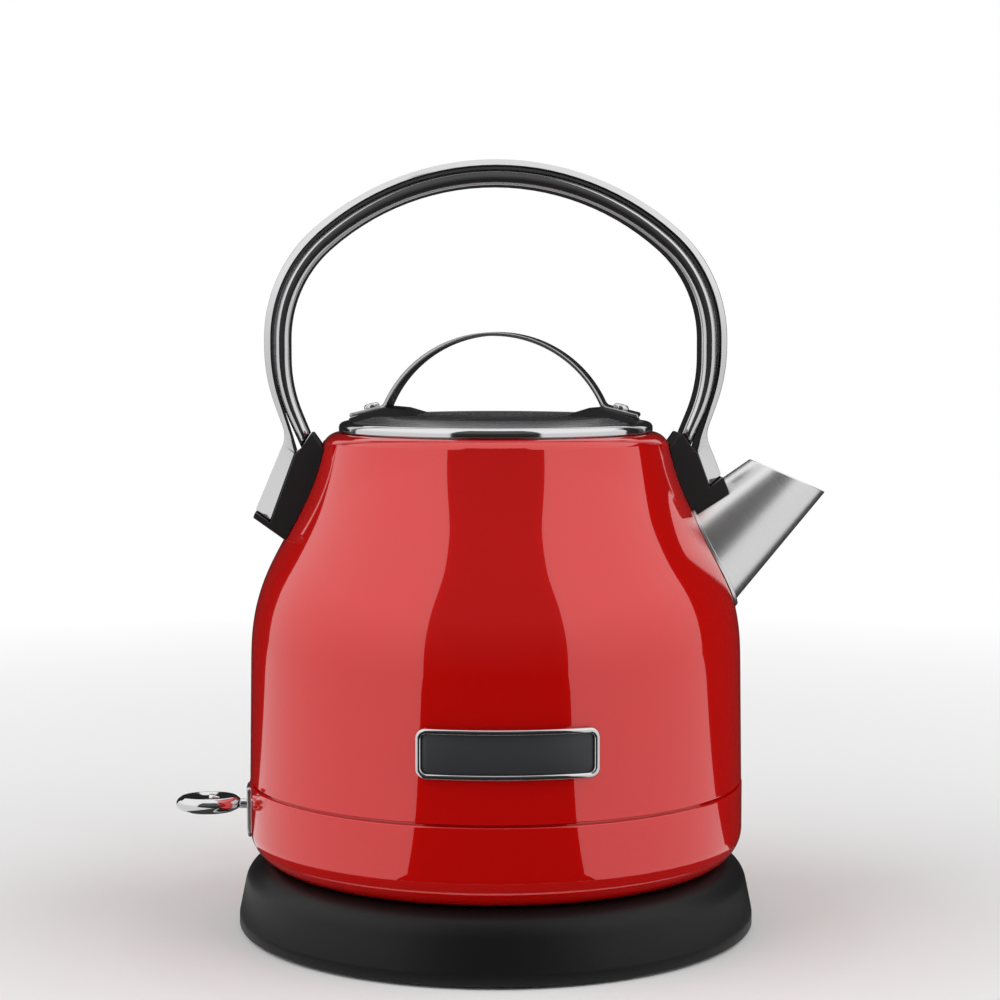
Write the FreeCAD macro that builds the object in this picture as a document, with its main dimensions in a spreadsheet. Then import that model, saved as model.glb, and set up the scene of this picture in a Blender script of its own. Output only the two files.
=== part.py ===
import FreeCAD, Part
import Sketcher
import math
import os
from types import SimpleNamespace

# Electric kettle on its power base, millimetres. Z is up, the spout points along +X, the lever along -X,
# and the origin is on the kettle's axis at the level of the table.

SIZES = {
    # power base
    "base_radius": 89.0,
    "base_taper": 3.7,
    "base_height": 23.0,
    "base_edge_height": 4.8,
    "base_round": 9.0,
    "base_wall": 2.4,
    "base_ground_gap": 1.0,
    "plateau_radius": 40.0,
    "plateau_top_radius": 27.5,
    "plateau_rise": 4.4,
    "plateau_round": 3.0,
    "base_plate_thickness": 2.0,
    "foot_radius": 7.0,
    "foot_height": 1.8,
    "foot_stem_radius": 2.2,
    "foot_circle": 72.0,
    "foot_count": 4,
    "boss_radius": 4.0,
    "boss_circle": 58.0,
    "boss_count": 3,
    "screw_radius": 1.3,
    "screw_head_radius": 2.9,
    "screw_head_height": 1.2,
    "screw_depth": 9.0,
    "gland_height": 11.0,
    "gland_radius": 5.4,
    "gland_length": 15.0,
    "gland_flange_radius": 6.8,
    "gland_flange_thickness": 1.8,
    "cord_bore_radius": 3.6,
    # round connector between base and kettle
    "post_foot_radius": 19.2,
    "post_radius": 13.4,
    "post_cone_height": 4.6,
    "post_height": 13.5,
    "post_lip_radius": 13.8,
    "post_lip_height": 2.4,
    "post_flange_radius": 24.0,
    "post_flange_thickness": 2.0,
    "post_recess_radius": 7.9,
    "post_recess_depth": 8.0,
    "contact_pin_radius": 2.2,
    "contact_ring_radius": 6.0,
    "contact_wall": 0.8,
    "contact_set_back": 1.5,
    "socket_wall": 3.4,
    "socket_roof": 2.0,
    "socket_clearance": 0.8,
    # clearances
    "seat_gap": 0.3,
    "running_gap": 0.3,
    "fit_gap": 0.1,
    "pin_gap": 0.05,
    # body of the kettle, heights from its foot
    "band_proud": 0.2,
    "band_round": 11.5,
    "band_wall": 1.6,
    "band_lip_width": 15.0,
    "band_lip_rise": 3.4,
    "band_step": 2.0,
    "seam_height": 28.0,
    "seam_gap": 0.8,
    "body_radius": 85.0,
    "shoulder_taper": 0.9,
    "shoulder_height": 89.8,
    "shoulder_round": 65.0,
    "neck_inset": 23.65,
    "shoulder_rise": 41.8,
    "neck_round": 75.0,
    "neck_taper": 2.61,
    "top_round": 6.0,
    "neck_rise": 15.4,
    "shell_wall": 1.0,
    "collar_width": 8.24,
    "collar_depth": 6.0,
    # bottom and heater
    "cover_lift": 0.8,
    "cover_wall": 2.0,
    "cover_recess_radius": 44.0,
    "cover_recess_depth": 5.2,
    "floor_inset": 5.0,
    "floor_thickness": 1.2,
    "seal_height": 2.4,
    "stud_radius": 3.0,
    "stud_circle": 56.0,
    "stud_count": 3,
    "spreader_radius": 46.0,
    "spreader_thickness": 2.5,
    "element_circle": 37.0,
    "element_radius": 3.2,
    "element_sweep": 300.0,
    "terminal_radius": 1.8,
    "terminal_length": 10.0,
    "control_radius": 29.0,
    "steam_tube_radius": 3.0,
    "steam_tube_bore": 2.2,
    "steam_tube_inset": 23.5,
    "steam_tube_foot": 23.0,
    "steam_tube_top": 118.0,
    # switch
    "switch_height": 18.2,
    "pivot_inset": 12.0,
    "pivot_radius": 1.5,
    "cradle_ear": 2.0,
    "cradle_half_width": 7.2,
    "cradle_depth": 9.0,
    "cradle_base_length": 13.0,
    "rocker_radius": 3.6,
    "rocker_length": 6.5,
    "stem_radius": 1.6,
    "paddle_length": 22.4,
    "paddle_width": 17.6,
    "paddle_end_radius": 8.0,
    "paddle_thickness": 5.6,
    "paddle_round": 1.8,
    "paddle_reach": 25.6,
    "dish_radius": 6.6,
    "dish_depth": 0.9,
    "switch_travel": 11.0,
    "slot_width": 4.4,
    "slot_margin": 0.7,
    "escutcheon_width": 13.0,
    "escutcheon_thickness": 1.0,
    "escutcheon_top": 24.8,
    "escutcheon_wrap": 18.0,
    # spout and its filter
    "spout_rise": 16.7,
    "spout_tilt": 47.5,
    "spout_radius": 17.95,
    "spout_taper": 7.8,
    "spout_length": 36.6,
    "spout_mouth_tilt": 23.8,
    "spout_wall": 0.9,
    "spout_bore_radius": 15.0,
    "filter_wall": 1.5,
    "filter_ledge": 1.2,
    "filter_front": 1.0,
    "filter_length": 10.0,
    "mesh_thickness": 0.6,
    "mesh_hole_radius": 0.75,
    "mesh_pitch": 2.6,
    # badge
    "badge_width": 58.0,
    "badge_height": 16.0,
    "badge_level": 50.4,
    "badge_round": 3.0,
    "badge_border": 1.7,
    "badge_thickness": 2.2,
    "badge_plate_thickness": 1.0,
    # arched handle
    "arch_overhang": 17.55,
    "arch_rise": 60.9,
    "arch_level": 31.7,
    "arch_side_radius": 50.0,
    "arch_shoulder_drop": 12.7,
    "arch_shoulder_round": 60.0,
    "knee_drop": 1.0,
    "knee_reach": 10.25,
    "knee_round": 9.0,
    "strip_thickness": 2.2,
    "strip_waist": 1.5,
    "strip_half_width": 9.0,
    "groove_width": 1.0,
    "rib_half_width": 5.5,
    "tube_thickness": 5.6,
    "tube_half_width": 8.0,
    "tube_round": 2.0,
    "tube_lean_drop": 16.3,
    "tube_end_reach": 5.25,
    "tube_end_drop": 5.0,
    "tube_inner_reach": 2.25,
    "tube_inner_drop": 0.4,
    "heel_reach": 7.15,
    "heel_drop": 6.6,
    "plate_lean": 0.373,
    "plate_outer_lean": 0.42,
    "plate_rear_drop": 29.9,
    "plate_front_drop": 18.4,
    "plate_end_rise": 3.6,
    "bracket_half_width": 11.0,
    "bracket_lip": 1.6,
    "bracket_front_lip": 5.0,
    "bracket_round": 1.2,
    "bracket_edge_round": 0.4,
    "bracket_root": 45.0,
    "bracket_screw_tilt": 71.0,
    "bracket_screw_spread": 6.0,
    "bracket_screw_radius": 1.6,
    "bracket_screw_length": 7.5,
    # lid, heights from the rim of the body
    "lid_overlap": 3.5,
    "lid_turn": -8.5,
    "lid_gap": 0.3,
    "rim_height": 2.5,
    "rim_width": 3.0,
    "rim_round": 1.1,
    "dome_rise": 2.7,
    "dome_thickness": 0.8,
    "plug_gap": 2.0,
    "plug_wall": 0.8,
    "plug_depth": 12.0,
    "lid_seal_height": 3.0,
    "lid_seal_drop": 2.0,
    "strap_bow": 3.4,
    "strap_knee_rise": 9.31,
    "strap_thickness": 1.3,
    "strap_half_width": 10.0,
    "strap_knee_inset": 16.1,
    "strap_end_inset": 4.6,
    "strap_foot_slope": 14.0,
    "pad_length": 24.4,
    "pad_end_inset": 2.6,
    "pad_inner_height": 6.4,
    "pad_half_width": 13.0,
    "pad_round": 1.0,
    "rivet_inset": 11.0,
    "rivet_head_radius": 2.6,
    "rivet_head_height": 1.4,
    "rivet_radius": 1.4,
    "rivet_grip": 3.0,
}


class Size:
    # A number together with the spreadsheet formula that gives it.
    def __init__(self, value, formula):
        self.value = float(value)
        self.formula = formula

    def __add__(self, other):
        other = size(other)
        return Size(self.value + other.value, f"({self.formula} + {other.formula})")

    def __sub__(self, other):
        other = size(other)
        return Size(self.value - other.value, f"({self.formula} - {other.formula})")

    def __mul__(self, other):
        other = size(other)
        return Size(self.value * other.value, f"({self.formula} * {other.formula})")

    def __truediv__(self, other):
        other = size(other)
        return Size(self.value / other.value, f"({self.formula} / {other.formula})")

    def __radd__(self, other):
        return size(other) + self

    def __rsub__(self, other):
        return size(other) - self

    def __rmul__(self, other):
        return size(other) * self

    def __neg__(self):
        return 0.0 - self


def size(number):
    return number if isinstance(number, Size) else Size(number, repr(float(number)))


def root(number):
    return Size(math.sqrt(number.value), f"sqrt({number.formula})")


def sine(angle):
    return Size(math.sin(math.radians(angle.value)), f"sin({angle.formula})")


def cosine(angle):
    return Size(math.cos(math.radians(angle.value)), f"cos({angle.formula})")


doc = FreeCAD.newDocument("electric_kettle")
sheet = doc.addObject("Spreadsheet::Sheet", "Sizes")
for row, (alias, number) in enumerate(SIZES.items(), start=1):
    sheet.set(f"A{row}", alias)
    sheet.set(f"B{row}", str(number))
    sheet.setAlias(f"B{row}", alias)
doc.recompute()
dim = SimpleNamespace(**{alias: Size(number, f"Sizes.{alias}") for alias, number in SIZES.items()})
dim.base_top_radius = dim.base_radius - dim.base_taper
dim.neck_height = dim.shoulder_height + dim.shoulder_rise
dim.body_height = dim.neck_height + dim.neck_rise
dim.spout_height = dim.shoulder_height + dim.spout_rise
dim.band_radius = dim.body_radius + dim.band_proud
dim.band_lip_radius = dim.body_radius - dim.band_lip_width
dim.shoulder_radius = dim.body_radius - dim.shoulder_taper
dim.floor_radius = dim.body_radius - dim.floor_inset
dim.steam_tube_offset = dim.body_radius - dim.steam_tube_inset
dim.neck_radius = dim.body_radius - dim.neck_inset
dim.top_radius = dim.neck_radius - dim.neck_taper
dim.mouth_radius = dim.top_radius - dim.collar_width
dim.arch_half_span = dim.neck_radius + dim.arch_overhang
dim.lid_radius = dim.mouth_radius + dim.lid_overlap
dim.plug_radius = dim.mouth_radius - dim.plug_gap
dim.strap_knee = dim.lid_radius - dim.strap_knee_inset
dim.strap_end = dim.lid_radius - dim.strap_end_inset
dim.strap_radius = dim.strap_knee + dim.strap_bow
dim.strap_centre_drop = (
    root(dim.strap_radius * dim.strap_radius - dim.strap_knee * dim.strap_knee) - dim.strap_knee_rise
)
dim.pad_outer = dim.lid_radius - dim.pad_end_inset
dim.pad_inner = dim.pad_outer - dim.pad_length
dim.rivet_reach = dim.lid_radius - dim.rivet_inset

sub_parts = []


def bind(thing, path, number):
    thing.setExpression(path, size(number).formula)


def place(thing, x=0.0, y=0.0, z=0.0, axis=None, angle=None):
    if axis:
        thing.Placement = FreeCAD.Placement(
            FreeCAD.Vector(), FreeCAD.Rotation(FreeCAD.Vector(*axis), size(angle).value)
        )
        bind(thing, "Placement.Rotation.Angle", angle)
    for name, number in (("x", x), ("y", y), ("z", z)):
        bind(thing, f"Placement.Base.{name}", number)
    return thing


def keep(thing, label):
    thing.Label = label
    sub_parts.append(thing)
    return thing


def new_body(name):
    return doc.addObject("PartDesign::Body", name)


def origin_feature(body, role):
    return next(feature for feature in body.Origin.OriginFeatures if feature.Role == role)


def new_sketch(body, role="XZ_Plane", offset=0.0):
    sketch = body.newObject("Sketcher::SketchObject", f"{body.Name}_sketch")
    sketch.AttachmentSupport = [(origin_feature(body, role), "")]
    sketch.MapMode = "FlatFace"
    bind(sketch, "AttachmentOffset.Base.z", offset)
    return sketch


def limit(sketch, kind, *where, number):
    index = sketch.addConstraint(Sketcher.Constraint(kind, *where, number.value))
    bind(sketch, f"Constraints[{index}]", number)


def pin_point(sketch, geometry, end, x, y):
    limit(sketch, "DistanceX", -1, 1, geometry, end, number=x)
    limit(sketch, "DistanceY", -1, 1, geometry, end, number=y)


def corner(x, y, round_by=None, arc=None):
    # One corner of an outline: its place, the radius that rounds it, and the signed radius of the edge that
    # leaves it when that edge is an arc (positive turns left).
    return SimpleNamespace(
        x=size(x),
        y=size(y),
        round_by=size(round_by) if round_by is not None else None,
        arc=size(arc) if arc is not None else None,
    )


def mirrored(corners):
    return [corner(-c.x, c.y, c.round_by) for c in reversed(corners)]


def arc_between(start, end, radius):
    chord = end - start
    side = FreeCAD.Vector(-chord.y, chord.x, 0).normalize()
    rise = math.sqrt(radius * radius - (chord.Length / 2) ** 2)
    centre = start + chord * 0.5 + side * math.copysign(rise, radius)
    return arc_about(centre, start, end, radius > 0)


def arc_about(centre, start, end, leftward):
    first, last = (start, end) if leftward else (end, start)
    circle = Part.Circle(centre, FreeCAD.Vector(0, 0, 1), (start - centre).Length)
    angles = [math.atan2(point.y - centre.y, point.x - centre.x) for point in (first, last)]
    if angles[1] < angles[0]:
        angles[1] += 2 * math.pi
    return Part.ArcOfCircle(circle, *angles)


def draw(sketch, corners):
    # A closed outline, every corner and radius tied to its formula.
    count = len(corners)
    places = [FreeCAD.Vector(c.x.value, c.y.value, 0) for c in corners]
    arrive, leave = list(places), list(places)
    for i, c in enumerate(corners):
        if c.round_by is None:
            continue
        back = (places[i - 1] - places[i]).normalize()
        ahead = (places[(i + 1) % count] - places[i]).normalize()
        reach = c.round_by.value / math.tan(back.getAngle(ahead) / 2)
        arrive[i] = places[i] + back * reach
        leave[i] = places[i] + ahead * reach

    edges, starts, ends = [], [], []
    for i, c in enumerate(corners):
        start, end = leave[i], arrive[(i + 1) % count]
        leftward = c.arc is None or c.arc.value > 0
        edge = Part.LineSegment(start, end) if c.arc is None else arc_between(start, end, c.arc.value)
        edges.append(sketch.addGeometry(edge))
        starts.append(1 if leftward else 2)
        ends.append(2 if leftward else 1)
        if c.arc is not None:
            limit(sketch, "Radius", edges[i], number=c.arc if leftward else -c.arc)

    for i, c in enumerate(corners):
        before = (edges[i - 1], ends[i - 1])
        after = (edges[i], starts[i])
        if c.round_by is None:
            sketch.addConstraint(Sketcher.Constraint("Coincident", *before, *after))
            pin_point(sketch, *after, c.x, c.y)
            continue
        apex = sketch.addGeometry(Part.Point(places[i]), True)
        pin_point(sketch, apex, 1, c.x, c.y)
        for edge in (before[0], after[0]):
            sketch.addConstraint(Sketcher.Constraint("PointOnObject", apex, 1, edge))
        inward = (arrive[i] - places[i]) + (leave[i] - places[i])
        half_turn = inward.normalize().getAngle(arrive[i] - places[i])
        centre = places[i] + inward * (c.round_by.value / math.sin(half_turn))
        turn = (places[i] - places[i - 1]).cross(places[(i + 1) % count] - places[i]).z
        bend = sketch.addGeometry(arc_about(centre, arrive[i], leave[i], turn > 0))
        limit(sketch, "Radius", bend, number=c.round_by)
        sketch.addConstraint(Sketcher.Constraint("Tangent", *before, bend, 1 if turn > 0 else 2))
        sketch.addConstraint(Sketcher.Constraint("Tangent", bend, 2 if turn > 0 else 1, *after))


def box_corners(x0, y0, x1, y1, round_by=None):
    return [corner(x, y, round_by) for x, y in ((x0, y0), (x1, y0), (x1, y1), (x0, y1))]


def draw_circle(sketch, x, y, radius):
    x, y, radius = size(x), size(y), size(radius)
    circle = Part.Circle(FreeCAD.Vector(x.value, y.value, 0), FreeCAD.Vector(0, 0, 1), radius.value)
    index = sketch.addGeometry(circle)
    pin_point(sketch, index, 3, x, y)
    limit(sketch, "Radius", index, number=radius)


def revolve(body, corners, name="turned", sweep=360.0):
    sketch = new_sketch(body)
    draw(sketch, corners)
    feature = body.newObject("PartDesign::Revolution", f"{body.Name}_{name}")
    feature.Profile = (sketch, [""])
    feature.ReferenceAxis = (sketch, ["V_Axis"])
    feature.Midplane = True
    bind(feature, "Angle", sweep)
    doc.recompute()
    return feature


def extrude(body, sketch, length, symmetric=True):
    feature = body.newObject("PartDesign::Pad", f"{body.Name}_pad")
    feature.Profile = sketch
    feature.SideType = "Symmetric" if symmetric else "One side"
    bind(feature, "Length", length)
    doc.recompute()
    return feature


def pocket(body, sketch, depth=None, reverse=False):
    before = body.Shape.Volume
    feature = body.newObject("PartDesign::Pocket", f"{body.Name}_pocket")
    feature.Profile = sketch
    feature.Reversed = reverse
    if depth is None:
        feature.Type = "ThroughAll"
    else:
        bind(feature, "Length", depth)
    doc.recompute()
    if body.Shape.Volume >= before:
        raise RuntimeError(f"{feature.Name} cuts nothing")
    return feature


def groove(body, corners):
    before = body.Shape.Volume
    sketch = new_sketch(body)
    draw(sketch, corners)
    feature = body.newObject("PartDesign::Groove", f"{body.Name}_groove")
    feature.Profile = (sketch, [""])
    feature.ReferenceAxis = (sketch, ["V_Axis"])
    feature.Angle = 360
    doc.recompute()
    if body.Shape.Volume >= before:
        raise RuntimeError(f"{feature.Name} cuts nothing")
    return feature


def around(body, features, count):
    pattern = body.newObject("PartDesign::PolarPattern", f"{body.Name}_around")
    pattern.Originals = features
    pattern.Axis = (origin_feature(body, "Z_Axis"), [""])
    pattern.Angle = 360
    bind(pattern, "Occurrences", count)
    body.Tip = pattern
    doc.recompute()
    return pattern


def fillet(body, radius, chosen):
    base = body.Tip
    names = [f"Edge{i}" for i, edge in enumerate(base.Shape.Edges, start=1) if chosen(edge)]
    feature = body.newObject("PartDesign::Fillet", f"{body.Name}_fillet")
    feature.Base = (base, names)
    bind(feature, "Radius", radius)
    doc.recompute()
    return feature


def cylinder(name, radius, height):
    thing = doc.addObject("Part::Cylinder", name)
    bind(thing, "Radius", radius)
    bind(thing, "Height", height)
    return thing


def cut(base, tool, name):
    thing = doc.addObject("Part::Cut", name)
    thing.Base = base
    thing.Tool = tool
    return thing


def group(things, name):
    thing = doc.addObject("Part::Compound", name)
    thing.Links = things
    return thing


def reflect(source, normal, name):
    thing = doc.addObject("Part::Mirroring", name)
    thing.Source = source
    thing.Normal = FreeCAD.Vector(*normal)
    return thing


def flat_ends(half_width, low=None):
    # Chooses the edges of the two flat side faces of a piece extruded along Y,
    # apart from any wholly below a height.
    def chosen(edge):
        if low is not None and all(vertex.Z < low.value for vertex in edge.Vertexes):
            return False
        return all(abs(abs(vertex.Y) - half_width.value) < 1e-6 for vertex in edge.Vertexes)

    return chosen


# Heights that several pieces share
kettle_foot = dim.base_height + dim.seat_gap
plateau_top = dim.base_height + dim.plateau_rise
plateau_ceiling = plateau_top - dim.base_wall
plate_top = dim.foot_height + dim.base_plate_thickness
post_top = plateau_top + dim.post_height
band_top = dim.seam_height - dim.seam_gap
lip_outer = dim.body_radius - dim.shell_wall - dim.running_gap
lip_inner = lip_outer - dim.band_wall
lip_top = band_top + dim.band_lip_rise
floor_bottom = lip_top + dim.running_gap
cover_top = dim.cover_lift + dim.cover_wall
cover_ceiling = dim.cover_lift + dim.cover_recess_depth
cover_roof = cover_ceiling + dim.cover_wall
spreader_bottom = floor_bottom - dim.spreader_thickness
lid_seat = kettle_foot + dim.body_height
socket_bore = dim.post_lip_radius + dim.socket_clearance
socket_radius = socket_bore + dim.socket_wall
socket_ceiling = post_top - kettle_foot + dim.socket_clearance
socket_top = socket_ceiling + dim.socket_roof


def base_cover():
    body = new_body("base_cover_body")
    hole = dim.post_foot_radius + dim.running_gap
    inside = dim.base_height - dim.base_wall
    revolve(body, [
        corner(dim.base_radius, dim.base_ground_gap),
        corner(dim.base_radius, dim.base_edge_height, dim.base_wall),
        corner(dim.base_top_radius, dim.base_height, dim.base_round),
        corner(dim.plateau_radius, dim.base_height, dim.plateau_round),
        corner(dim.plateau_top_radius, plateau_top, dim.plateau_round),
        corner(hole, plateau_top),
        corner(hole, plateau_ceiling),
        corner(dim.plateau_top_radius, plateau_ceiling),
        corner(dim.plateau_radius, inside),
        corner(dim.base_top_radius - dim.base_wall, inside, dim.base_round - dim.base_wall),
        corner(dim.base_radius - dim.base_wall, dim.base_edge_height),
        corner(dim.base_radius - dim.base_wall, dim.base_ground_gap),
    ])
    ring = new_sketch(body, "XY_Plane", plate_top)
    draw_circle(ring, dim.boss_circle, 0.0, dim.boss_radius)
    draw_circle(ring, dim.boss_circle, 0.0, dim.screw_radius + dim.pin_gap)
    boss = extrude(body, ring, inside - plate_top, symmetric=False)
    around(body, [boss], dim.boss_count)
    entry = new_sketch(body)
    draw_circle(entry, 0.0, dim.gland_height, dim.gland_radius + dim.fit_gap)
    pocket(body, entry)
    return keep(body, "base_cover")


def base_plate():
    body = new_body("base_plate_body")
    revolve(body, [
        corner(0.0, dim.foot_height),
        corner(dim.base_radius - dim.base_wall - dim.running_gap, dim.foot_height),
        corner(dim.base_radius - dim.base_wall - dim.running_gap, plate_top),
        corner(0.0, plate_top),
    ])
    screw_hole = new_sketch(body, "XY_Plane")
    draw_circle(screw_hole, dim.boss_circle, 0.0, dim.screw_radius + dim.running_gap)
    around(body, [pocket(body, screw_hole, reverse=True)], dim.boss_count)
    foot_hole = new_sketch(body, "XY_Plane")
    offset = dim.foot_circle * cosine(size(45.0))
    draw_circle(foot_hole, offset, offset, dim.foot_stem_radius + dim.fit_gap)
    around(body, [pocket(body, foot_hole, reverse=True)], dim.foot_count)
    return keep(body, "base_plate")


def ring_of_turned(name, circle, profile, count, turn=0.0):
    # Equal turned pieces standing on a circle about the Z axis.
    body = new_body(name)
    sketch = new_sketch(body)
    draw(sketch, [corner(circle + c.x, c.y, c.round_by) for c in profile])
    axis = sketch.addGeometry(Part.LineSegment(
        FreeCAD.Vector(circle.value, 0, 0), FreeCAD.Vector(circle.value, 1, 0)), True)
    pin_point(sketch, axis, 1, circle, size(0.0))
    pin_point(sketch, axis, 2, circle, size(1.0))
    feature = body.newObject("PartDesign::Revolution", f"{name}_turned")
    feature.Profile = (sketch, [""])
    feature.ReferenceAxis = (sketch, ["Axis0"])
    feature.Angle = 360
    doc.recompute()
    around(body, [feature], count)
    if turn:
        place(body, axis=(0, 0, 1), angle=turn)
    return body


def base_feet():
    cap = plate_top + dim.base_plate_thickness
    body = ring_of_turned("base_feet_body", dim.foot_circle, [
        corner(0.0, 0.0),
        corner(dim.foot_radius, 0.0),
        corner(dim.foot_radius, dim.foot_height),
        corner(dim.foot_stem_radius, dim.foot_height),
        corner(dim.foot_stem_radius, cap),
        corner(0.0, cap),
    ], dim.foot_count, 45.0)
    return keep(body, "base_feet")


def screw_profile(seat):
    # A pan-head screw driven upwards, its head under the seat.
    return [
        corner(0.0, seat - dim.screw_head_height),
        corner(dim.screw_head_radius, seat - dim.screw_head_height),
        corner(dim.screw_head_radius, seat),
        corner(dim.screw_radius, seat),
        corner(dim.screw_radius, seat + dim.screw_depth),
        corner(0.0, seat + dim.screw_depth),
    ]


def base_screws():
    body = ring_of_turned("base_screws_body", dim.boss_circle, screw_profile(dim.foot_height), dim.boss_count)
    return keep(body, "base_screws")


def connector_post():
    body = new_body("connector_post_body")
    floor = post_top - dim.post_recess_depth
    flange = plateau_ceiling - dim.post_flange_thickness
    revolve(body, [
        corner(0.0, flange),
        corner(dim.post_flange_radius, flange),
        corner(dim.post_flange_radius, plateau_ceiling),
        corner(dim.post_foot_radius, plateau_ceiling),
        corner(dim.post_foot_radius, plateau_top),
        corner(dim.post_radius, plateau_top + dim.post_cone_height),
        corner(dim.post_radius, post_top - dim.post_lip_height),
        corner(dim.post_lip_radius, post_top - dim.post_lip_height),
        corner(dim.post_lip_radius, post_top, dim.contact_wall),
        corner(dim.post_recess_radius, post_top, dim.contact_wall),
        corner(dim.post_recess_radius, floor),
        corner(0.0, floor),
    ])
    return keep(body, "connector_post")


def connector_contacts():
    floor = post_top - dim.post_recess_depth
    height = dim.post_recess_depth - dim.contact_set_back
    pin = place(cylinder("contact_pin", dim.contact_pin_radius, height), z=floor)
    outer = place(cylinder("contact_ring_outer", dim.contact_ring_radius, height), z=floor)
    inner = place(cylinder("contact_ring_inner", dim.contact_ring_radius - dim.contact_wall, height), z=floor)
    ring = cut(outer, inner, "contact_ring")
    return keep(group([pin, ring], "connector_contacts_group"), "connector_contacts")


def cord_gland():
    # A bush through the rear of the skirt, ending flush with it.
    rear = dim.base_radius - dim.base_wall
    flange = rear - dim.base_wall * 2 - dim.gland_flange_thickness
    front = rear + dim.fit_gap - dim.gland_length
    body = new_body("cord_gland_body")
    revolve(body, [
        corner(dim.cord_bore_radius, front),
        corner(dim.gland_radius, front),
        corner(dim.gland_radius, flange),
        corner(dim.gland_flange_radius, flange),
        corner(dim.gland_flange_radius, flange + dim.gland_flange_thickness),
        corner(dim.gland_radius, flange + dim.gland_flange_thickness),
        corner(dim.gland_radius, rear + dim.fit_gap),
        corner(dim.cord_bore_radius, rear + dim.fit_gap),
    ])
    place(body, z=dim.gland_height, axis=(1, 0, 0), angle=-90.0)
    return keep(body, "cord_gland")


def connector_socket():
    body = new_body("connector_socket_body")
    foot = cover_roof + dim.running_gap
    ring = dim.contact_pin_radius + dim.socket_clearance
    revolve(body, [
        corner(socket_bore, foot),
        corner(socket_radius, foot),
        corner(socket_radius, socket_top),
        corner(ring + dim.contact_wall, socket_top),
        corner(ring + dim.contact_wall, socket_ceiling),
        corner(socket_bore, socket_ceiling),
    ])
    place(body, z=kettle_foot)
    return keep(body, "connector_socket")


def socket_contacts():
    # A sleeve that drops over the centre pin of the post.
    sleeve = dim.contact_pin_radius + dim.socket_clearance
    reach = dim.post_recess_depth - dim.contact_set_back * 2
    height = reach + dim.socket_clearance + dim.socket_roof
    outer = cylinder("sleeve_outer", sleeve + dim.contact_wall - dim.pin_gap, height)
    inner = cylinder("sleeve_inner", sleeve, height)
    for thing in (outer, inner):
        place(thing, z=kettle_foot + socket_top - height)
    return keep(cut(outer, inner, "sleeve"), "socket_contacts")


def lower_band():
    body = new_body("lower_band_body")
    inner = dim.band_radius - dim.band_wall
    step = band_top - dim.band_step
    revolve(body, [
        corner(dim.band_radius, band_top),
        corner(dim.band_radius, 0.0, dim.band_round),
        corner(dim.band_lip_radius, 0.0),
        corner(dim.band_lip_radius, dim.band_wall),
        corner(inner, dim.band_wall, dim.band_round - dim.band_wall),
        corner(inner, step - dim.band_wall),
        corner(lip_inner, step),
        corner(lip_inner, lip_top),
        corner(lip_outer, lip_top),
        corner(lip_outer, band_top),
    ])
    pocket(body, stem_slot(body))
    place(body, z=kettle_foot)
    return keep(body, "lower_band")


def stem_slot(body):
    # The slot that lets the lever's stem tip, in a plane that the cut leaves towards -X.
    margin = dim.stem_radius + dim.slot_margin
    drop = (dim.pivot_inset + dim.escutcheon_thickness) * sine(dim.switch_travel)
    sketch = new_sketch(body, "YZ_Plane")
    draw(sketch, box_corners(
        -dim.slot_width / 2, dim.switch_height - margin - drop,
        dim.slot_width / 2, dim.switch_height + margin,
    ))
    return sketch


def bottom_cover():
    body = new_body("bottom_cover_body")
    edge = dim.band_lip_radius - dim.running_gap
    hole = socket_radius + dim.running_gap
    revolve(body, [
        corner(edge, dim.cover_lift),
        corner(edge, cover_top),
        corner(dim.cover_recess_radius + dim.cover_wall, cover_top),
        corner(dim.cover_recess_radius + dim.cover_wall, cover_roof),
        corner(hole, cover_roof),
        corner(hole, cover_ceiling),
        corner(dim.cover_recess_radius, cover_ceiling),
        corner(dim.cover_recess_radius, dim.cover_lift),
    ])
    hole_sketch = new_sketch(body, "XY_Plane")
    draw_circle(hole_sketch, dim.stud_circle, 0.0, dim.screw_radius + dim.running_gap)
    around(body, [pocket(body, hole_sketch, reverse=True)], dim.stud_count)
    head_sketch = new_sketch(body, "XY_Plane", dim.cover_lift)
    draw_circle(head_sketch, dim.stud_circle, 0.0, dim.screw_head_radius + dim.running_gap)
    around(body, [pocket(body, head_sketch, dim.screw_head_height, reverse=True)], dim.stud_count)
    place(body, z=kettle_foot)
    return keep(body, "bottom_cover")


def bottom_screws():
    seat = dim.cover_lift
    sunk = [corner(c.x, c.y + dim.screw_head_height, c.round_by) for c in screw_profile(seat)]
    body = ring_of_turned("bottom_screws_body", dim.stud_circle, sunk, dim.stud_count)
    place(body, z=kettle_foot)
    return keep(body, "bottom_screws")


def heating_plate():
    body = new_body("heating_plate_body")
    top = floor_bottom + dim.floor_thickness
    revolve(body, [
        corner(0.0, floor_bottom),
        corner(dim.floor_radius, floor_bottom),
        corner(dim.floor_radius, top),
        corner(0.0, top),
    ])
    stud = new_sketch(body, "XY_Plane", cover_top)
    draw_circle(stud, dim.stud_circle, 0.0, dim.stud_radius)
    draw_circle(stud, dim.stud_circle, 0.0, dim.screw_radius + dim.pin_gap)
    around(body, [extrude(body, stud, floor_bottom - cover_top, symmetric=False)], dim.stud_count)
    tube_hole = new_sketch(body, "XY_Plane")
    draw_circle(tube_hole, -dim.steam_tube_offset, 0.0, dim.steam_tube_radius + dim.pin_gap)
    pocket(body, tube_hole, reverse=True)
    place(body, z=kettle_foot)
    return keep(body, "heating_plate")


def turned_ring(label, inner, outer, low, high, round_by=None):
    body = new_body(f"{label}_body")
    revolve(body, box_corners(inner, low, outer, high, round_by))
    return keep(body, label)


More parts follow.
